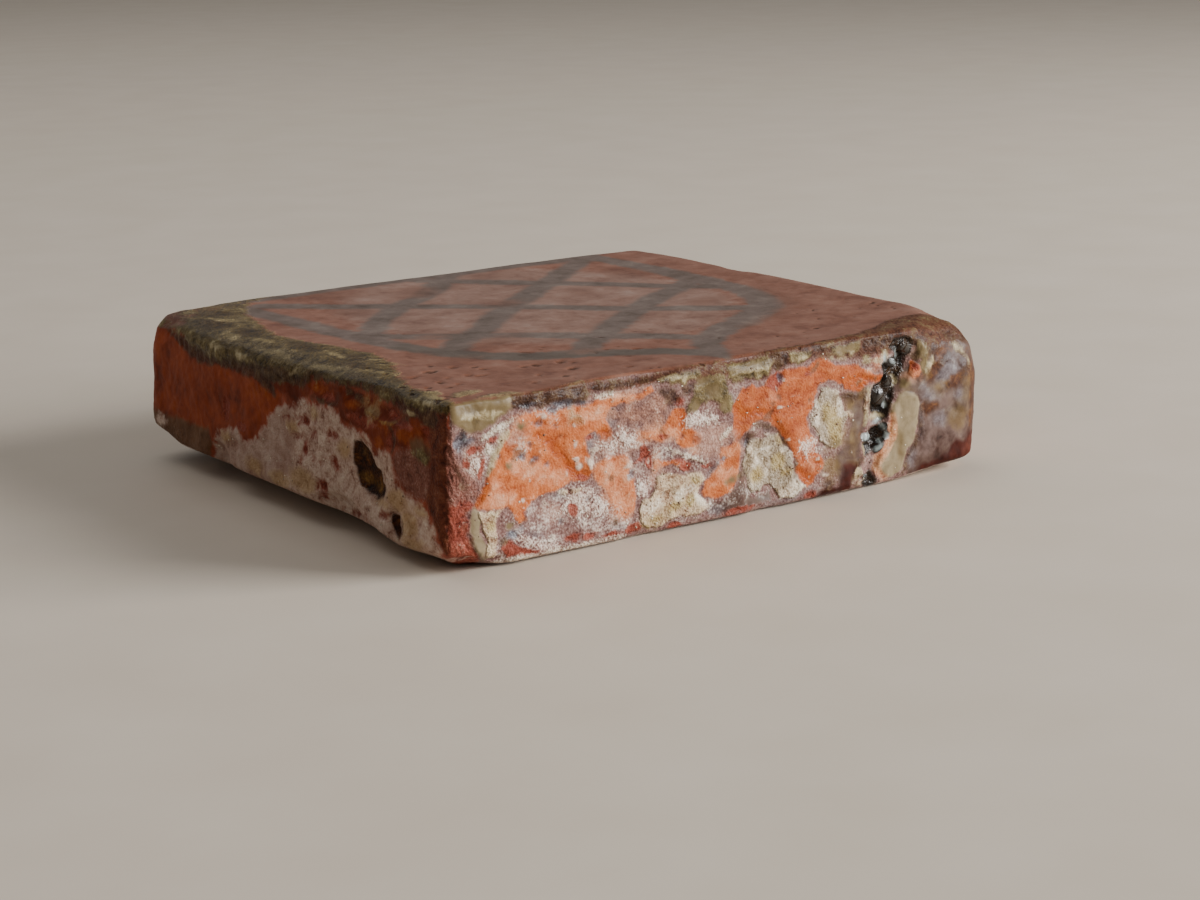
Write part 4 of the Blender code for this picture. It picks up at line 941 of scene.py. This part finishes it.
CREAM_LICKS = (
    ((-54.6, 25.2, 0.3), (-52.0, 25.0, 0.55), (-49.6, 25.0, 0.5), (-47.4, 25.2, 0.3)),
    ((-46.6, 21.9, 0.5), (-47.8, 20.4, 0.6), (-48.8, 18.6, 0.6), (-49.4, 16.8, 0.5), (-50.2, 15.4, 0.4)),
    ((20.8, 24.9, 0.2), (23.2, 24.4, 0.35), (25.8, 24.6, 0.25)),
    ((-17.0, 26.3, 0.25), (-13.0, 26.0, 0.35), (-9.0, 25.4, 0.3)),
    ((28.0, 23.2, 0.4), (30.0, 23.4, 0.5), (31.8, 22.8, 0.5)),
    ((0.6, 24.8, 0.2), (3.4, 24.7, 0.3), (6.0, 25.2, 0.3)), ((12.0, 25.6, 0.4), (14.6, 25.8, 0.4)),
    ((47.8, 25.6, 0.3), (50.6, 23.6, 0.7), (53.6, 20.0, 0.4)),
    ((43.2, 19.8, 0.5), (44.6, 21.2, 0.6), (45.0, 22.4, 0.3)),
)
LEFT_CREAM_LICKS = (
    ((14.6, 25.2, 0.4), (12.4, 24.8, 0.8), (10.8, 25.6, 0.4)),
    ((-4.6, 24.8, 0.3), (-6.2, 25.4, 0.4), (-7.4, 25.0, 0.2)),
    ((-16.0, 23.8, 0.2), (-17.6, 24.8, 0.3)),
    ((-42.0, 24.8, 0.25), (-45.6, 24.9, 0.3)),
    ((20.4, 25.6, 0.4), (24.0, 25.4, 0.5)),
    ((-48.0, 27.2, 0.5), (-51.4, 27.4, 0.7)),
)
# A golden line of glaze in the crack round the flake that lifted from the left side
CRACK_LINE = (
    ((-23.6, 24.4, 0.2), (-26.4, 23.3, 0.28), (-30.6, 22.5, 0.3), (-34.6, 21.7, 0.34), (-37.2, 22.0, 0.36),
     (-41.4, 24.2, 0.26)),
)
LEFT_OLIVE = (
    (29.0, 25.4, 4.6, 1.2, 0), (22.0, 24.8, 3.6, 1.4, 0), (13.0, 25.2, 3.8, 1.3, 0),
    (6.0, 26.0, 3.4, 1.0, 0), (-36.5, 26.2, 2.8, 0.7, 0), (-44.0, 26.6, 4.0, 0.7, 0),
    (-46.4, 18.2, 2.0, 1.1, 0), (-20.0, 26.8, 5.0, 0.6, 0), (34.0, 26.6, 6.0, 1.0, 0),
    (47.0, 27.2, 5.0, 1.2, 0), (0.0, 27.0, 6.0, 0.6, 0),
)
BROWN_RIM = (
    ((-46.0, 27.4), (-31.0, 27.4), (-31.2, 24.2), (-33.0, 23.9), (-35.4, 24.4), (-38.0, 24.7),
     (-41.0, 24.6), (-44.0, 24.7), (-45.8, 25.2)),
    ((-31.0, 27.4), (-17.4, 27.4), (-17.4, 25.9), (-20.0, 25.6), (-24.0, 25.4), (-26.2, 25.7),
     (-29.8, 25.2)),
    ((-17.2, 24.9), (-15.0, 24.6), (-13.4, 24.2), (-12.0, 22.6), (-12.6, 21.2), (-14.2, 20.9),
     (-15.8, 22.8), (-16.8, 23.8)),
    ((-12.0, 24.8), (-8.6, 24.8), (-9.2, 23.0), (-10.6, 22.3), (-11.8, 22.8)),
    ((6.6, 27.6), (10.8, 27.6), (11.2, 25.4), (10.4, 24.7), (8.6, 24.3), (7.0, 24.6)),
    ((16.4, 27.6), (19.8, 27.6), (20.4, 25.8), (19.4, 25.8), (16.6, 25.8)),
    ((20.4, 24.7), (22.6, 24.2), (25.6, 24.2), (27.8, 24.6), (27.6, 23.9), (24.6, 23.7), (21.2, 24.1)),
    ((27.4, 27.6), (36.4, 27.6), (36.0, 25.8), (33.0, 25.0), (30.4, 25.2), (28.0, 25.6)),
)
MAUVE_MOTTLE = (
    ((-27.0, 21.4), (-26.4, 22.8), (-24.6, 23.0), (-22.4, 23.4), (-19.6, 23.6), (-17.2, 24.0),
     (-15.6, 23.4), (-14.2, 20.6), (-15.2, 18.4), (-17.4, 18.0), (-19.4, 18.2), (-21.0, 19.2),
     (-23.4, 19.8), (-25.4, 19.6)),
)
EDGE_GLAZE = (
    ((-46.2, 28.0), (-46.0, 25.2), (-43.0, 24.8), (-38.0, 24.8), (-35.0, 24.5), (-31.4, 24.3),
     (-30.0, 25.3), (-24.0, 25.6), (-17.6, 25.6), (-14.0, 24.8), (-8.0, 24.8), (-2.0, 24.6), (1.0, 23.2),
     (6.4, 23.0), (7.4, 24.3), (11.0, 24.6), (16.0, 24.9), (19.6, 24.7), (24.0, 23.9), (27.6, 23.6),
     (30.0, 23.8), (33.0, 23.6), (37.0, 24.2), (41.0, 24.0), (43.0, 23.4), (44.6, 25.4), (46.6, 26.4),
     (47.0, 28.0)),
)
TOP_EDGE_GLAZE = (
    ((-2.0, -56.0), (-2.0, -52.4), (4.0, -51.6), (10.0, -51.0), (16.0, -51.4), (24.0, -50.4), (30.0, -49.6),
     (36.0, -46.6), (42.0, -43.6), (48.0, -42.4), (54.0, -42.0), (60.0, -42.0), (60.0, -56.0)),
    ((-46.0, -56.0), (-46.0, -52.8), (-30.0, -52.6), (-16.0, -52.8), (-2.0, -52.6), (-2.0, -56.0)),
)
BROWN_DRIPS = (
    (2.2, 13.4, 1.8, 0.9, 0), (6.2, 14.8, 2.0, 0.45, -24), (9.8, 12.2, 0.4, 2.0, 30),
    (24.6, 17.4, 3.0, 0.5, -10), (28.6, 17.8, 1.0, 0.9, 0), (-25.6, 3.4, 0.5, 0.5, 0),
    (-48.0, 4.4, 1.0, 0.6, 0), (-55.4, 16.0, 0.4, 1.8, 24), (1.2, 7.4, 0.8, 1.0, 0),
    (12.6, 6.6, 0.4, 1.0, 0), (-53.6, 5.0, 0.3, 2.6, 26), (-54.4, 9.4, 0.3, 1.0, 0),
    (44.4, 23.6, 1.6, 0.9, 0), (48.6, 25.6, 2.2, 0.8, -30), (40.2, 25.8, 2.8, 0.8, 0),
    (52.0, 26.4, 2.8, 0.8, 0), (47.6, 20.6, 1.4, 0.7, 0), (40.2, 22.8, 0.9, 1.2, 0),
    (52.6, 24.6, 2.4, 1.3, 0), (40.6, 25.2, 1.8, 1.0, 0), (27.6, 5.6, 0.9, 1.2, 0),
    (20.2, 2.6, 1.4, 0.7, 0), (53.2, 19.0, 0.7, 0.8, 0), (3.0, 23.9, 2.4, 0.4, 0),
)
# Dark lines along the left side's upper edge: brown glaze, and painted shadow under the overhanging glaze lip
LEFT_BROWN_AND_SHADOW = (
    ((50.0, 26.6, 0.6), (42.0, 26.0, 0.8), (37.0, 24.6, 1.2), (32.0, 23.2, 1.4), (28.0, 22.4, 1.2),
     (22.0, 22.9, 0.8), (16.0, 23.2, 1.2), (10.0, 23.2, 1.5), (4.0, 23.4, 1.5), (-2.0, 24.2, 1.3),
     (-8.0, 24.0, 1.0), (-12.0, 25.6, 0.8)),
    ((-11.0, 26.0, 0.8), (-16.0, 26.2, 0.8), (-24.0, 26.4, 0.8), (-32.0, 26.6, 0.9), (-40.0, 25.8, 1.2),
     (-50.0, 25.2, 1.6)),
    ((-12.0, 21.9, 0.4), (-19.0, 22.1, 0.5), (-20.5, 24.0, 0.5)),
    ((-36.6, 21.4, 0.4), (-38.2, 19.4, 0.6), (-37.4, 17.6, 0.4)),
    ((6.0, 22.6, 1.4), (1.0, 20.6, 0.6)),
    ((-24.0, 25.2, 0.8), (-27.6, 24.6, 0.9)),
    ((-38.0, 22.6, 0.3), (-43.0, 24.0, 0.5)),
)
# Painted shade: a dark strip on the left side next to the near corner, toned like brown glaze, so the corner
# reads sharp
NEAR_EDGE_SHADE = (
    ((-47.6, 25.4), (-49.2, 20.4), (-48.6, 15.0), (-48.0, 11.0), (-49.4, 7.6), (-51.2, 5.0), (-52.6, 3.6),
     (-54.4, 3.0), (-54.2, 12.0), (-54.4, 27.0), (-48.0, 26.4)),
)
# Painted shade: the torn near corner of the front made darker, laid with the maroon skin's colours
NEAR_CORNER_SHADE = (
    ((-60.0, 24.6), (-57.0, 23.6), (-56.0, 19.6), (-54.8, 17.2), (-53.0, 15.0), (-51.8, 13.6),
     (-52.0, 11.8), (-54.2, 11.8), (-60.0, 11.6)),
)
MAROON_SKIN = (
    ((-37.5, 16.8), (-40.0, 18.4), (-43.0, 18.8), (-46.0, 17.4), (-49.6, 17.0), (-48.8, 11.4),
     (-46.0, 11.2), (-42.4, 11.6), (-39.2, 12.6), (-37.8, 14.6)),
)
BLUE_BLACK_PITS = (
    (9.3, 23.1, 0.7, 0.9, 0), (-55.4, 21.3, 1.0, 1.5, 0), (-41.4, 16.7, 0.8, 0.5, 0),
    (-44.0, 17.5, 0.6, 0.4, 0), (-40.3, 22.2, 1.1, 0.5, -12), (-37.4, 21.6, 0.6, 0.4, 0),
    (-46.2, 5.0, 0.9, 0.5, -14), (-31.2, 8.5, 0.6, 0.5, 30), (-38.0, 23.8, 0.9, 0.5, 0),
    (-15.5, 6.6, 0.7, 0.35, 0), (-5.8, 9.2, 1.3, 0.5, 28), (-48.2, 18.0, 0.4, 0.5, 0),
    (1.8, 12.6, 0.7, 0.7, 0), (-39.0, 15.5, 0.5, 0.4, 0), (-36.0, 24.8, 1.8, 0.5, 0),
    (-3.4, 10.6, 0.5, 0.4, 0), (-42.4, 18.9, 0.4, 0.4, 0), (-36.6, 5.6, 0.5, 0.4, 0),
    (-22.6, 11.0, 0.5, 0.7, 0), (-11.8, 15.9, 0.5, 0.4, 0), (-53.8, 21.2, 1.2, 0.5, 10),
    (-54.9, 22.6, 0.7, 0.5, -40), (-32.6, 24.2, 1.4, 0.4, -8), (-42.6, 25.4, 1.6, 0.5, 0),
)
strip = regions(drawn, "top", GLAZE_STRIP)
end_y, end_z = zip(*GLAZE_FOOT)
strip = np.minimum(strip, drawn[:, 2] - np.interp(drawn[:, 1], end_y, end_z))
lay("glaze_strip", strip, clayey, ("#261806", "#403012", "#584622", "#6c5a38", "#8c7a50"),
    wander=(3.0, 0.8), roughness=0.4, gloss=0.2, grit=0.6)
strip_brown = np.minimum(patches(drawn, "top", STRIP_BROWN), strip)
lay("strip_brown", strip_brown, clayey, ("#1c0e06", "#321e0c", "#48321a"), wander=(3.4, 1.2), cover=0.65,
    gloss=0.25)
lay("strip_licks", patches(drawn, "top", STRIP_LICKS + CORNER_SCUM), clayey,
    ("#665434", "#86744e", "#a08e68"), wander=(2.4, 0.6), cover=0.8, gloss=0.2, grit=0.5)
# Maroon skin on the left side, and the painted shade in the torn near corner of the front
maroon_and_shade = np.maximum(regions(drawn, "left", MAROON_SKIN), regions(drawn, "front", NEAR_CORNER_SHADE))
lay("maroon_skin", maroon_and_shade, sandy, ("#4a2a20", "#704438", "#805448", "#98786a"), wander=(3.0, 0.8),
    cover=0.9, grit=0.5)
# The painted shade by the near corner
near_edge = regions(drawn, "left", NEAR_EDGE_SHADE)
lay("near_edge", near_edge, clayey, ("#30120a", "#542416", "#6a3622", "#7e4c36"), wander=(2.0, 0.6),
    gloss=0.05, grit=0.6)
edge_glaze = np.maximum(regions(drawn, "front", EDGE_GLAZE), regions(drawn, "top", TOP_EDGE_GLAZE))
edge_glaze = np.maximum(edge_glaze, far_edge)
lay("edge_glaze", edge_glaze, clayey, ("#2a140a", "#432414", "#5a3624", "#604a30", "#6e5c3e"),
    wander=(1.6, 0.5), cover=0.95, roughness=0.6, gloss=0.04, grit=0.35)
lay("mauve_mottle", regions(drawn, "front", MAUVE_MOTTLE), clayey,
    ("#583830", "#845a4a", "#a06c54", "#bc947e"), wander=(4.0, 1.0), cover=0.7)
# Brown glaze, and painted shadow under the glaze lip on the left side and along the flake's edge
brown_and_shadow = np.maximum(regions(drawn, "front", BROWN_RIM), patches(drawn, "front", BROWN_DRIPS))
brown_and_shadow = np.maximum(np.maximum(brown_and_shadow, edge), strokes(drawn, "left", LEFT_BROWN_AND_SHADOW))
lay("brown_glaze", brown_and_shadow, clayey, ("#160803", "#2e180c", "#422a1a", "#543c28", "#6c543c"),
    wander=(2.2, 0.5), cover=0.85, roughness=0.5, gloss=0.05, grit=0.35)
green = np.maximum(regions(drawn, "front", GREEN_GLAZE), patches(drawn, "left", LEFT_OLIVE))
lay("green_glaze", green, clayey, ("#2c220e", "#4c3e22", "#645434", "#786846", "#9c8e66"),
    wander=(2.4, 0.5), roughness=0.5, gloss=0.06, grit=0.4)
olive = np.maximum(regions(drawn, "front", OLIVE_WEDGE), patches(drawn, "front", OLIVE_POOLS))
lay("olive_glaze", olive, smeary, ("#524226", "#6a583a", "#7a6848", "#8c7a58"), wander=(1.6, 0.5),
    roughness=0.45, gloss=0.1, grit=0.2)
cream = np.maximum(strokes(drawn, "front", CREAM_LICKS), strokes(drawn, "left", LEFT_CREAM_LICKS))
crack = strokes(spots + 0.4 * drift, "left", CRACK_LINE)
lay("crack_line", crack, clayey, ("#5c3814", "#8c6430", "#b48e54"), wander=(0.8, 0.2), cover=0.85,
    gloss=0.2)
pits = patches(drawn, "front", BLUE_BLACK_PITS)
lay("blue_black_pits", pits, clayey, ("#16161c", "#2e2e38", "#545864", "#8c949e"), wander=(1.6, 0.4),
    cover=0.75, roughness=0.35, gloss=0.3, grit=0.3)
swell(strip, 0.06 + 0.22 * rough(spots, 3.0, 95, 2), edge=(-0.2, 0.8))
swell(np.maximum(green, olive), 0.10 + 0.16 * rough(spots, 2.6, 101, 2), edge=(-0.2, 0.5))
swell(cream, 0.10, edge=(-0.1, 0.3))
swell(crack, 0.12, edge=(-0.2, 0.2))
swell(brown_and_shadow, 0.14 * fine - 0.04, edge=(-0.3, 0.5))
swell(pits, -0.24 - 0.10 * fine, edge=(-0.3, 0.4))


# The broken skin. Blisters in the glaze burst into pinholes on the walked-on face, and on the front and left
# sides larger pits and the deep fissure are open, with dark melted glass in them that stands in a few round
# beads.
FISSURE = (
    ((33.6, 24.6), (34.8, 26.6), (38.4, 27.0), (40.6, 25.6), (40.0, 23.4), (38.6, 22.2), (38.2, 20.8),
     (37.0, 19.2), (36.2, 17.6), (35.2, 15.6), (34.2, 12.6), (32.6, 11.6), (31.0, 12.0), (29.9, 13.8),
     (29.7, 16.4), (30.2, 18.8), (32.0, 19.4), (32.4, 20.6), (31.8, 22.2), (33.6, 22.8), (35.6, 23.6)),
    ((29.6, 12.0), (31.6, 12.2), (33.4, 12.2), (34.4, 11.0), (34.5, 9.6), (33.6, 8.2), (32.4, 7.4),
     (30.4, 6.0), (29.2, 5.2), (28.2, 5.6), (27.8, 7.4), (28.0, 9.4), (29.0, 10.6)),
    ((30.4, 4.2), (31.4, 2.4), (32.4, 1.0), (30.0, -0.6), (27.6, 0.4), (27.8, 1.6), (28.6, 3.4),
     (29.4, 4.6)),
)
FISSURE_LIME = (
    (31.0, 13.1, 1.5, 0.5, 0), (28.5, 7.2, 0.5, 1.3, 0), (27.0, 3.4, 0.9, 1.0, 0),
    (29.4, 17.0, 0.4, 1.6, 4), (28.8, 13.0, 0.5, 1.4, 0), (33.0, 23.6, 0.8, 0.5, 0),
    (35.6, 18.6, 0.5, 0.8, 0),
)
GLASS_BEADS = (
    (29.0, 9.5, 1.2, 0.9, 0), (31.7, 7.2, 1.5, 0.8, 20), (33.1, 10.8, 0.9, 0.8, -30),
    (32.0, 16.4, 1.3, 1.5, 0), (34.6, 22.3, 1.3, 0.8, -24), (28.6, 2.4, 0.8, 0.7, -20),
    (38.2, 24.2, 1.2, 0.9, 0), (34.4, 18.8, 0.8, 1.1, 0),
)
# Painted highlights: pale blue-grey glints of the window light on the glass beads and in the fissure
PAINTED_GLASS_GLINTS = (
    (28.9, 9.8, 0.9, 0.7, 0), (31.6, 7.3, 1.1, 0.5, 22), (32.6, 11.0, 0.8, 0.35, -50),
    (35.2, 22.2, 0.9, 0.4, -26), (31.4, 12.3, 0.8, 0.45, 10), (33.6, 9.3, 0.5, 0.7, 0),
    (32.0, 8.5, 0.6, 0.4, 0), (33.0, 22.8, 0.4, 0.7, 0), (28.4, 3.0, 0.4, 0.3, 0),
    (36.4, 23.6, 0.3, 0.6, 0), (33.2, 15.0, 0.5, 0.7, 0),
)
LEFT_PITS = (
    ((-25.2, 17.2), (-28.0, 17.9), (-30.4, 16.9), (-32.4, 15.4), (-34.0, 13.4), (-35.6, 10.6), (-34.6, 9.0),
     (-32.6, 8.2), (-30.0, 8.6), (-27.4, 9.8), (-25.8, 11.6), (-24.9, 14.0)),
    ((-36.8, 7.6), (-39.2, 7.7), (-40.2, 6.2), (-40.1, 4.4), (-39.2, 3.4), (-37.4, 4.0), (-36.8, 5.4)),
)
PIT_GOLD = (
    (-30.6, 11.0, 2.2, 0.8, 14), (-27.6, 11.8, 1.4, 0.6, 0), (-28.2, 15.4, 0.8, 0.5, 0),
    (-32.4, 9.8, 1.0, 0.5, 0),
)
CORNER_PIT = ((-54.8, 21.2, 0.8, 1.5, 14),)
PINHOLES = (
    (-25.6, -41.6, 1.0, 0.9, 0), (-23.8, -35.4, 0.7, 0.8, 0), (-40.2, -28.2, 0.6, 0.8, 0),
    (-45.5, -29.4, 1.2, 0.8, 0), (-37.2, -32.4, 0.6, 0.6, 0), (-41.8, -35.4, 0.6, 0.5, 0),
    (-40.4, -36.8, 0.9, 0.5, 0), (-48.8, -37.6, 0.6, 0.8, 0), (-46.0, -35.4, 0.4, 0.5, 0),
    (-52.8, -40.4, 0.6, 0.5, 0), (-47.4, -41.0, 0.5, 0.5, 0), (-30.6, -34.8, 1.0, 0.5, 40),
    (-28.2, -35.2, 0.6, 0.9, 0), (-37.0, -47.4, 0.5, 0.7, 0), (-18.0, -47.0, 0.6, 0.5, 0),
    (-7.0, -34.2, 0.8, 0.6, 0), (-50.0, -31.6, 0.8, 0.5, 0), (-33.0, -43.0, 0.4, 0.4, 0),
    (-12.0, -44.0, 0.5, 0.4, 0), (-30.2, -48.6, 0.5, 0.4, 0),
)
fissure = regions(drawn, "front", FISSURE)
beads = patches(spots, "front", GLASS_BEADS)
left_pits = regions(drawn, "left", LEFT_PITS)
corner_pit = patches(drawn, "front", CORNER_PIT)
pinhole = patches(spots + drift * 0.5, "top", PINHOLES)
burst = step(rough(spots, 1.5, 83, 2), 0.5, 0.72) * top * (1.0 - step(spots[:, 1], -34.0, 0.0))
lay("left_pits", left_pits, clayey, ("#140703", "#301404", "#50290c", "#74461a"), wander=(1.2, 0.3),
    roughness=0.45, gloss=0.1, grit=0.8)
lay("pit_gold", patches(drawn, "left", PIT_GOLD), clayey, ("#4c3010", "#74501e", "#98763a"),
    wander=(2.4, 0.6), cover=0.55, gloss=0.2, grit=0.7)
lay("fissure", fissure, clayey, ("#070301", "#160c04", "#2a1a0c", "#4c3822"), wander=(1.6, 0.4),
    roughness=0.35, gloss=0.25, grit=0.7)
lay("cream_licks", np.maximum(cream, patches(drawn, "front", FISSURE_LIME)), clayey,
    ("#6c5c40", "#a08e68", "#b8a884", "#cdc2a2"), wander=(1.4, 0.4), cover=0.8, roughness=0.5, gloss=0.1,
    grit=0.3)
# The painted glints on the glass
glints = patches(drawn, "front", PAINTED_GLASS_GLINTS)
lay("glass_beads", beads, smeary, ("#0c0805", "#1c140c", "#302418"), wander=(0.2, 0.2), roughness=0.12,
    gloss=0.8, grit=0.2)
lay("glass_scum", glints, smeary, ("#6c7676", "#a8b4b2", "#dce4e0"), wander=(1.0, 0.3), cover=0.9,
    roughness=0.1, gloss=1.0, grit=0.0)
lay("pinholes", np.maximum(pinhole, burst - 0.5), clayey, ("#2a1810", "#442c20"), wander=(0.4, 0.3),
    cover=0.8, grit=0.1)
BLISTER_DEPTH = 0.14
BEAD_HEIGHT = 0.35
swell(pinhole, -0.45, edge=(-0.15, 0.35))
relief -= burst * BLISTER_DEPTH
swell(fissure, (-0.7 - 0.3 * fine) * (1.0 - step(beads, -0.3, 0.1)), edge=(-0.4, 1.0))
relief += np.sqrt(np.clip(beads, 0.0, 1.0)) * BEAD_HEIGHT
swell(np.maximum(left_pits, corner_pit), -0.35 - 0.35 * rough(spots, 1.8, 98, 2), edge=(-0.2, 0.5))

# The skin takes its shape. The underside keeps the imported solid's own, and relief that would stand out of
# the solid's box is cut off flat at the box
relief *= 1.0 - under
shaped = np.clip((spots + facing * relief[:, None]) / 1000.0, cad_box[0], cad_box[1])
slab.data.vertices.foreach_set("co", shaped.ravel())
slab.data.update()
# The material takes its last links. Fired clay is dull, and a coat of lead glaze or glass over it gives the
# gloss. Grit is too fine for the mesh, so it is a bump, in millimetres
shader = tree.nodes["Principled BSDF"]
bump = add(tree, "ShaderNodeBump", {"Strength": 1.0, "Distance": 0.001}, {"Height": coats["height"]})
fed = {"Base Color": coats["colour"], "Roughness": coats["roughness"], "Coat Weight": coats["gloss"],
       "Normal": bump.outputs[0], "Coat Normal": bump.outputs[0]}
for socket, source in fed.items():
    tree.links.new(source, shader.inputs[socket])
CLAY_IOR = 1.5
CLAY_SHINE = 0.12
GLAZE_ROUGHNESS = 0.2
shader.inputs["IOR"].default_value = CLAY_IOR
shader.inputs["Specular IOR Level"].default_value = CLAY_SHINE
shader.inputs["Coat Roughness"].default_value = GLAZE_ROUGHNESS
slab.data.materials.clear()
slab.data.materials.append(earthenware)
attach(slab, "root")
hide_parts("floor_tile")


# Sand and lime crumbs. The potter's clay was mixed with coarse pale sand, and crumbs of lime from the mortar
# stick to the sides. They stand out of the skin as small dull grains, thickest where the lime is.
CRUMB_INPUTS = {
    "Crumb Radius": ("NodeSocketFloat", 0.00018),
    "Crumbs per Square Metre": ("NodeSocketFloat", 400000.0),
    "Seed": ("NodeSocketInt", 7),
}
# How much the smallest and the largest crumb are stretched along their three axes
LEAST_CRUMB = (0.5, 0.5, 0.4)
LARGEST_CRUMB = (1.6, 1.3, 0.9)

crumbs = bpy.data.objects.new("lime_crumbs", slab.data.copy())
bpy.context.scene.collection.objects.link(crumbs)
limy = np.clip(np.maximum(bloom, crust) + 0.8, 0.0, 1.0) + 0.5 * np.clip(left_mortar, 0.0, 1.0)
front_skin = np.clip(regions(spots, "front", FRONT_SIDE), 0.0, 1.0) * (1.0 - np.clip(glazed + 0.5, 0.0, 1.0))
crumby = np.clip(limy * 0.4 + front_skin * 0.1, 0.0, 1.0)
bare = step(np.maximum(fissure, left_pits), -0.3, 0.2)
share = sides * crumby * (1.0 - bare)
crumb_share = crumbs.data.attributes.new("crumb_share", "FLOAT", "POINT")
crumb_share.data.foreach_set("value", share.astype(np.float32))

lime_sand = bpy.data.materials.new("lime_and_sand")
lime_sand.use_nodes = True
sand_tree = lime_sand.node_tree
sand_shader = sand_tree.nodes["Principled BSDF"]
# Noise of 1.2 mm gives each crumb one tone, from grey-brown sand to white lime
SAND_NOISE = {"Scale": 1 / 0.0012, "Detail": 0.0}
SAND_TONES = ((0.34, "#6c5648"), (0.46, "#94806e"), (0.54, "#b8a894"), (0.64, "#d8ccb8"))
sand_place = add(sand_tree, "ShaderNodeTexCoord").outputs["Object"]
sand_tone = add(sand_tree, "ShaderNodeTexNoise", SAND_NOISE, {"Vector": sand_place}).outputs["Fac"]
sand_colour = add(sand_tree, "ShaderNodeValToRGB", {"stops": SAND_TONES}, {"Fac": sand_tone})
sand_tree.links.new(sand_colour.outputs[0], sand_shader.inputs["Base Color"])
sand_shader.inputs["Roughness"].default_value = 0.7
sand_shader.inputs["Specular IOR Level"].default_value = CLAY_SHINE

scatter = bpy.data.node_groups.new("crumb_scatter", "GeometryNodeTree")
scatter.interface.new_socket("Geometry", in_out="INPUT", socket_type="NodeSocketGeometry")
for socket_name, (kind, _) in CRUMB_INPUTS.items():
    scatter.interface.new_socket(socket_name, in_out="INPUT", socket_type=kind)
scatter.interface.new_socket("Geometry", in_out="OUTPUT", socket_type="NodeSocketGeometry")
given = add(scatter, "NodeGroupInput").outputs
where = add(scatter, "GeometryNodeInputNamedAttribute", {"data_type": "FLOAT", "Name": "crumb_share"})
spread = {0: where.outputs[0], 1: given["Crumbs per Square Metre"]}
density = add(scatter, "ShaderNodeMath", {"operation": "MULTIPLY"}, spread).outputs[0]
ground = {"Mesh": given["Geometry"], "Density": density, "Seed": given["Seed"]}
sown = add(scatter, "GeometryNodeDistributePointsOnFaces", {}, ground).outputs
crumb = add(scatter, "GeometryNodeMeshIcoSphere", {"Subdivisions": 1}, {"Radius": given["Crumb Radius"]})
sizes = {"data_type": "FLOAT_VECTOR", 0: LEAST_CRUMB, 1: LARGEST_CRUMB}
size = add(scatter, "FunctionNodeRandomValue", sizes, {"Seed": given["Seed"]}).outputs[0]
strewn = {"Points": sown["Points"], "Instance": crumb.outputs["Mesh"], "Rotation": sown["Rotation"],
          "Scale": size}
sown_crumbs = add(scatter, "GeometryNodeInstanceOnPoints", {}, strewn)
real = add(scatter, "GeometryNodeRealizeInstances", {}, {"Geometry": sown_crumbs.outputs[0]})
coated = add(scatter, "GeometryNodeSetMaterial", {"Material": lime_sand}, {"Geometry": real.outputs[0]})
scatter.links.new(coated.outputs[0], add(scatter, "NodeGroupOutput").inputs[0])
sowing = crumbs.modifiers.new("crumb_scatter", "NODES")
sowing.node_group = scatter
for socket_name, (_, value) in CRUMB_INPUTS.items():
    sowing[scatter.interface.items_tree[socket_name].identifier] = value
bpy.context.view_layer.update()
crumb_mesh = bpy.data.meshes.new_from_object(crumbs.evaluated_get(bpy.context.evaluated_depsgraph_get()))
crumbs.modifiers.clear()
crumbs.data = crumb_mesh
crumbs.data.shade_smooth()
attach(crumbs, "root")


# The floor and the studio. A pale floor under the tile, and a soft light from the right of the camera, so
# that the front side is bright, the left side is in shade and the worn face shows a grey sheen.
ROOM_COLOUR = "#bab8b6"
ROOM_STRENGTH = 0.45
FLOOR_NOISE = {"Scale": 40.0, "Detail": 4.0}
FLOOR_TONES = ((0.0, "#c6b8a6"), (1.0, "#d2c6b6"))
FLOOR_HALF = 3.0
FLOOR_DROP = 0.0002
floor_mesh = bpy.data.meshes.new("studio_floor")
corners = [(FLOOR_HALF * x, FLOOR_HALF * y, -FLOOR_DROP) for x, y in ((-1, -1), (1, -1), (1, 1), (-1, 1))]
floor_mesh.from_pydata(corners, [], [(0, 1, 2, 3)])
floor = bpy.data.objects.new("studio_floor", floor_mesh)
bpy.context.scene.collection.objects.link(floor)
floor_paint = bpy.data.materials.new("pale_studio_floor")
floor_paint.use_nodes = True
floor_tree = floor_paint.node_tree
floor_place = add(floor_tree, "ShaderNodeTexCoord").outputs["Object"]
cloudy = add(floor_tree, "ShaderNodeTexNoise", FLOOR_NOISE, {"Vector": floor_place}).outputs["Fac"]
floor_shade = add(floor_tree, "ShaderNodeValToRGB", {"stops": FLOOR_TONES}, {"Fac": cloudy})
floor_shader = floor_tree.nodes["Principled BSDF"]
floor_tree.links.new(floor_shade.outputs[0], floor_shader.inputs["Base Color"])
floor_shader.inputs["Roughness"].default_value = 0.6
floor_mesh.materials.append(floor_paint)

world = bpy.data.worlds.new("studio")
world.use_nodes = True
world.node_tree.nodes["Background"].inputs["Color"].default_value = paint(ROOM_COLOUR)
world.node_tree.nodes["Background"].inputs["Strength"].default_value = ROOM_STRENGTH
bpy.context.scene.world = world

# name, direction it shines from, distance and size in metres, power in watts
LIGHTS = (
    ("window", (0.76, -0.66, 0.38), 1.3, 0.7, 35.0),
    ("ceiling", (-0.1, 0.5, 0.9), 1.4, 1.2, 5.0),
)
for name, direction, distance, size, power in LIGHTS:
    lamp = bpy.data.lights.new(name, "AREA")
    lamp.size = size
    lamp.energy = power
    lamp_object = bpy.data.objects.new(name, lamp)
    away = Vector(direction).normalized()
    lamp_object.location = away * distance
    lamp_object.rotation_euler = away.to_track_quat("Z", "Y").to_euler()
    bpy.context.scene.collection.objects.link(lamp_object)
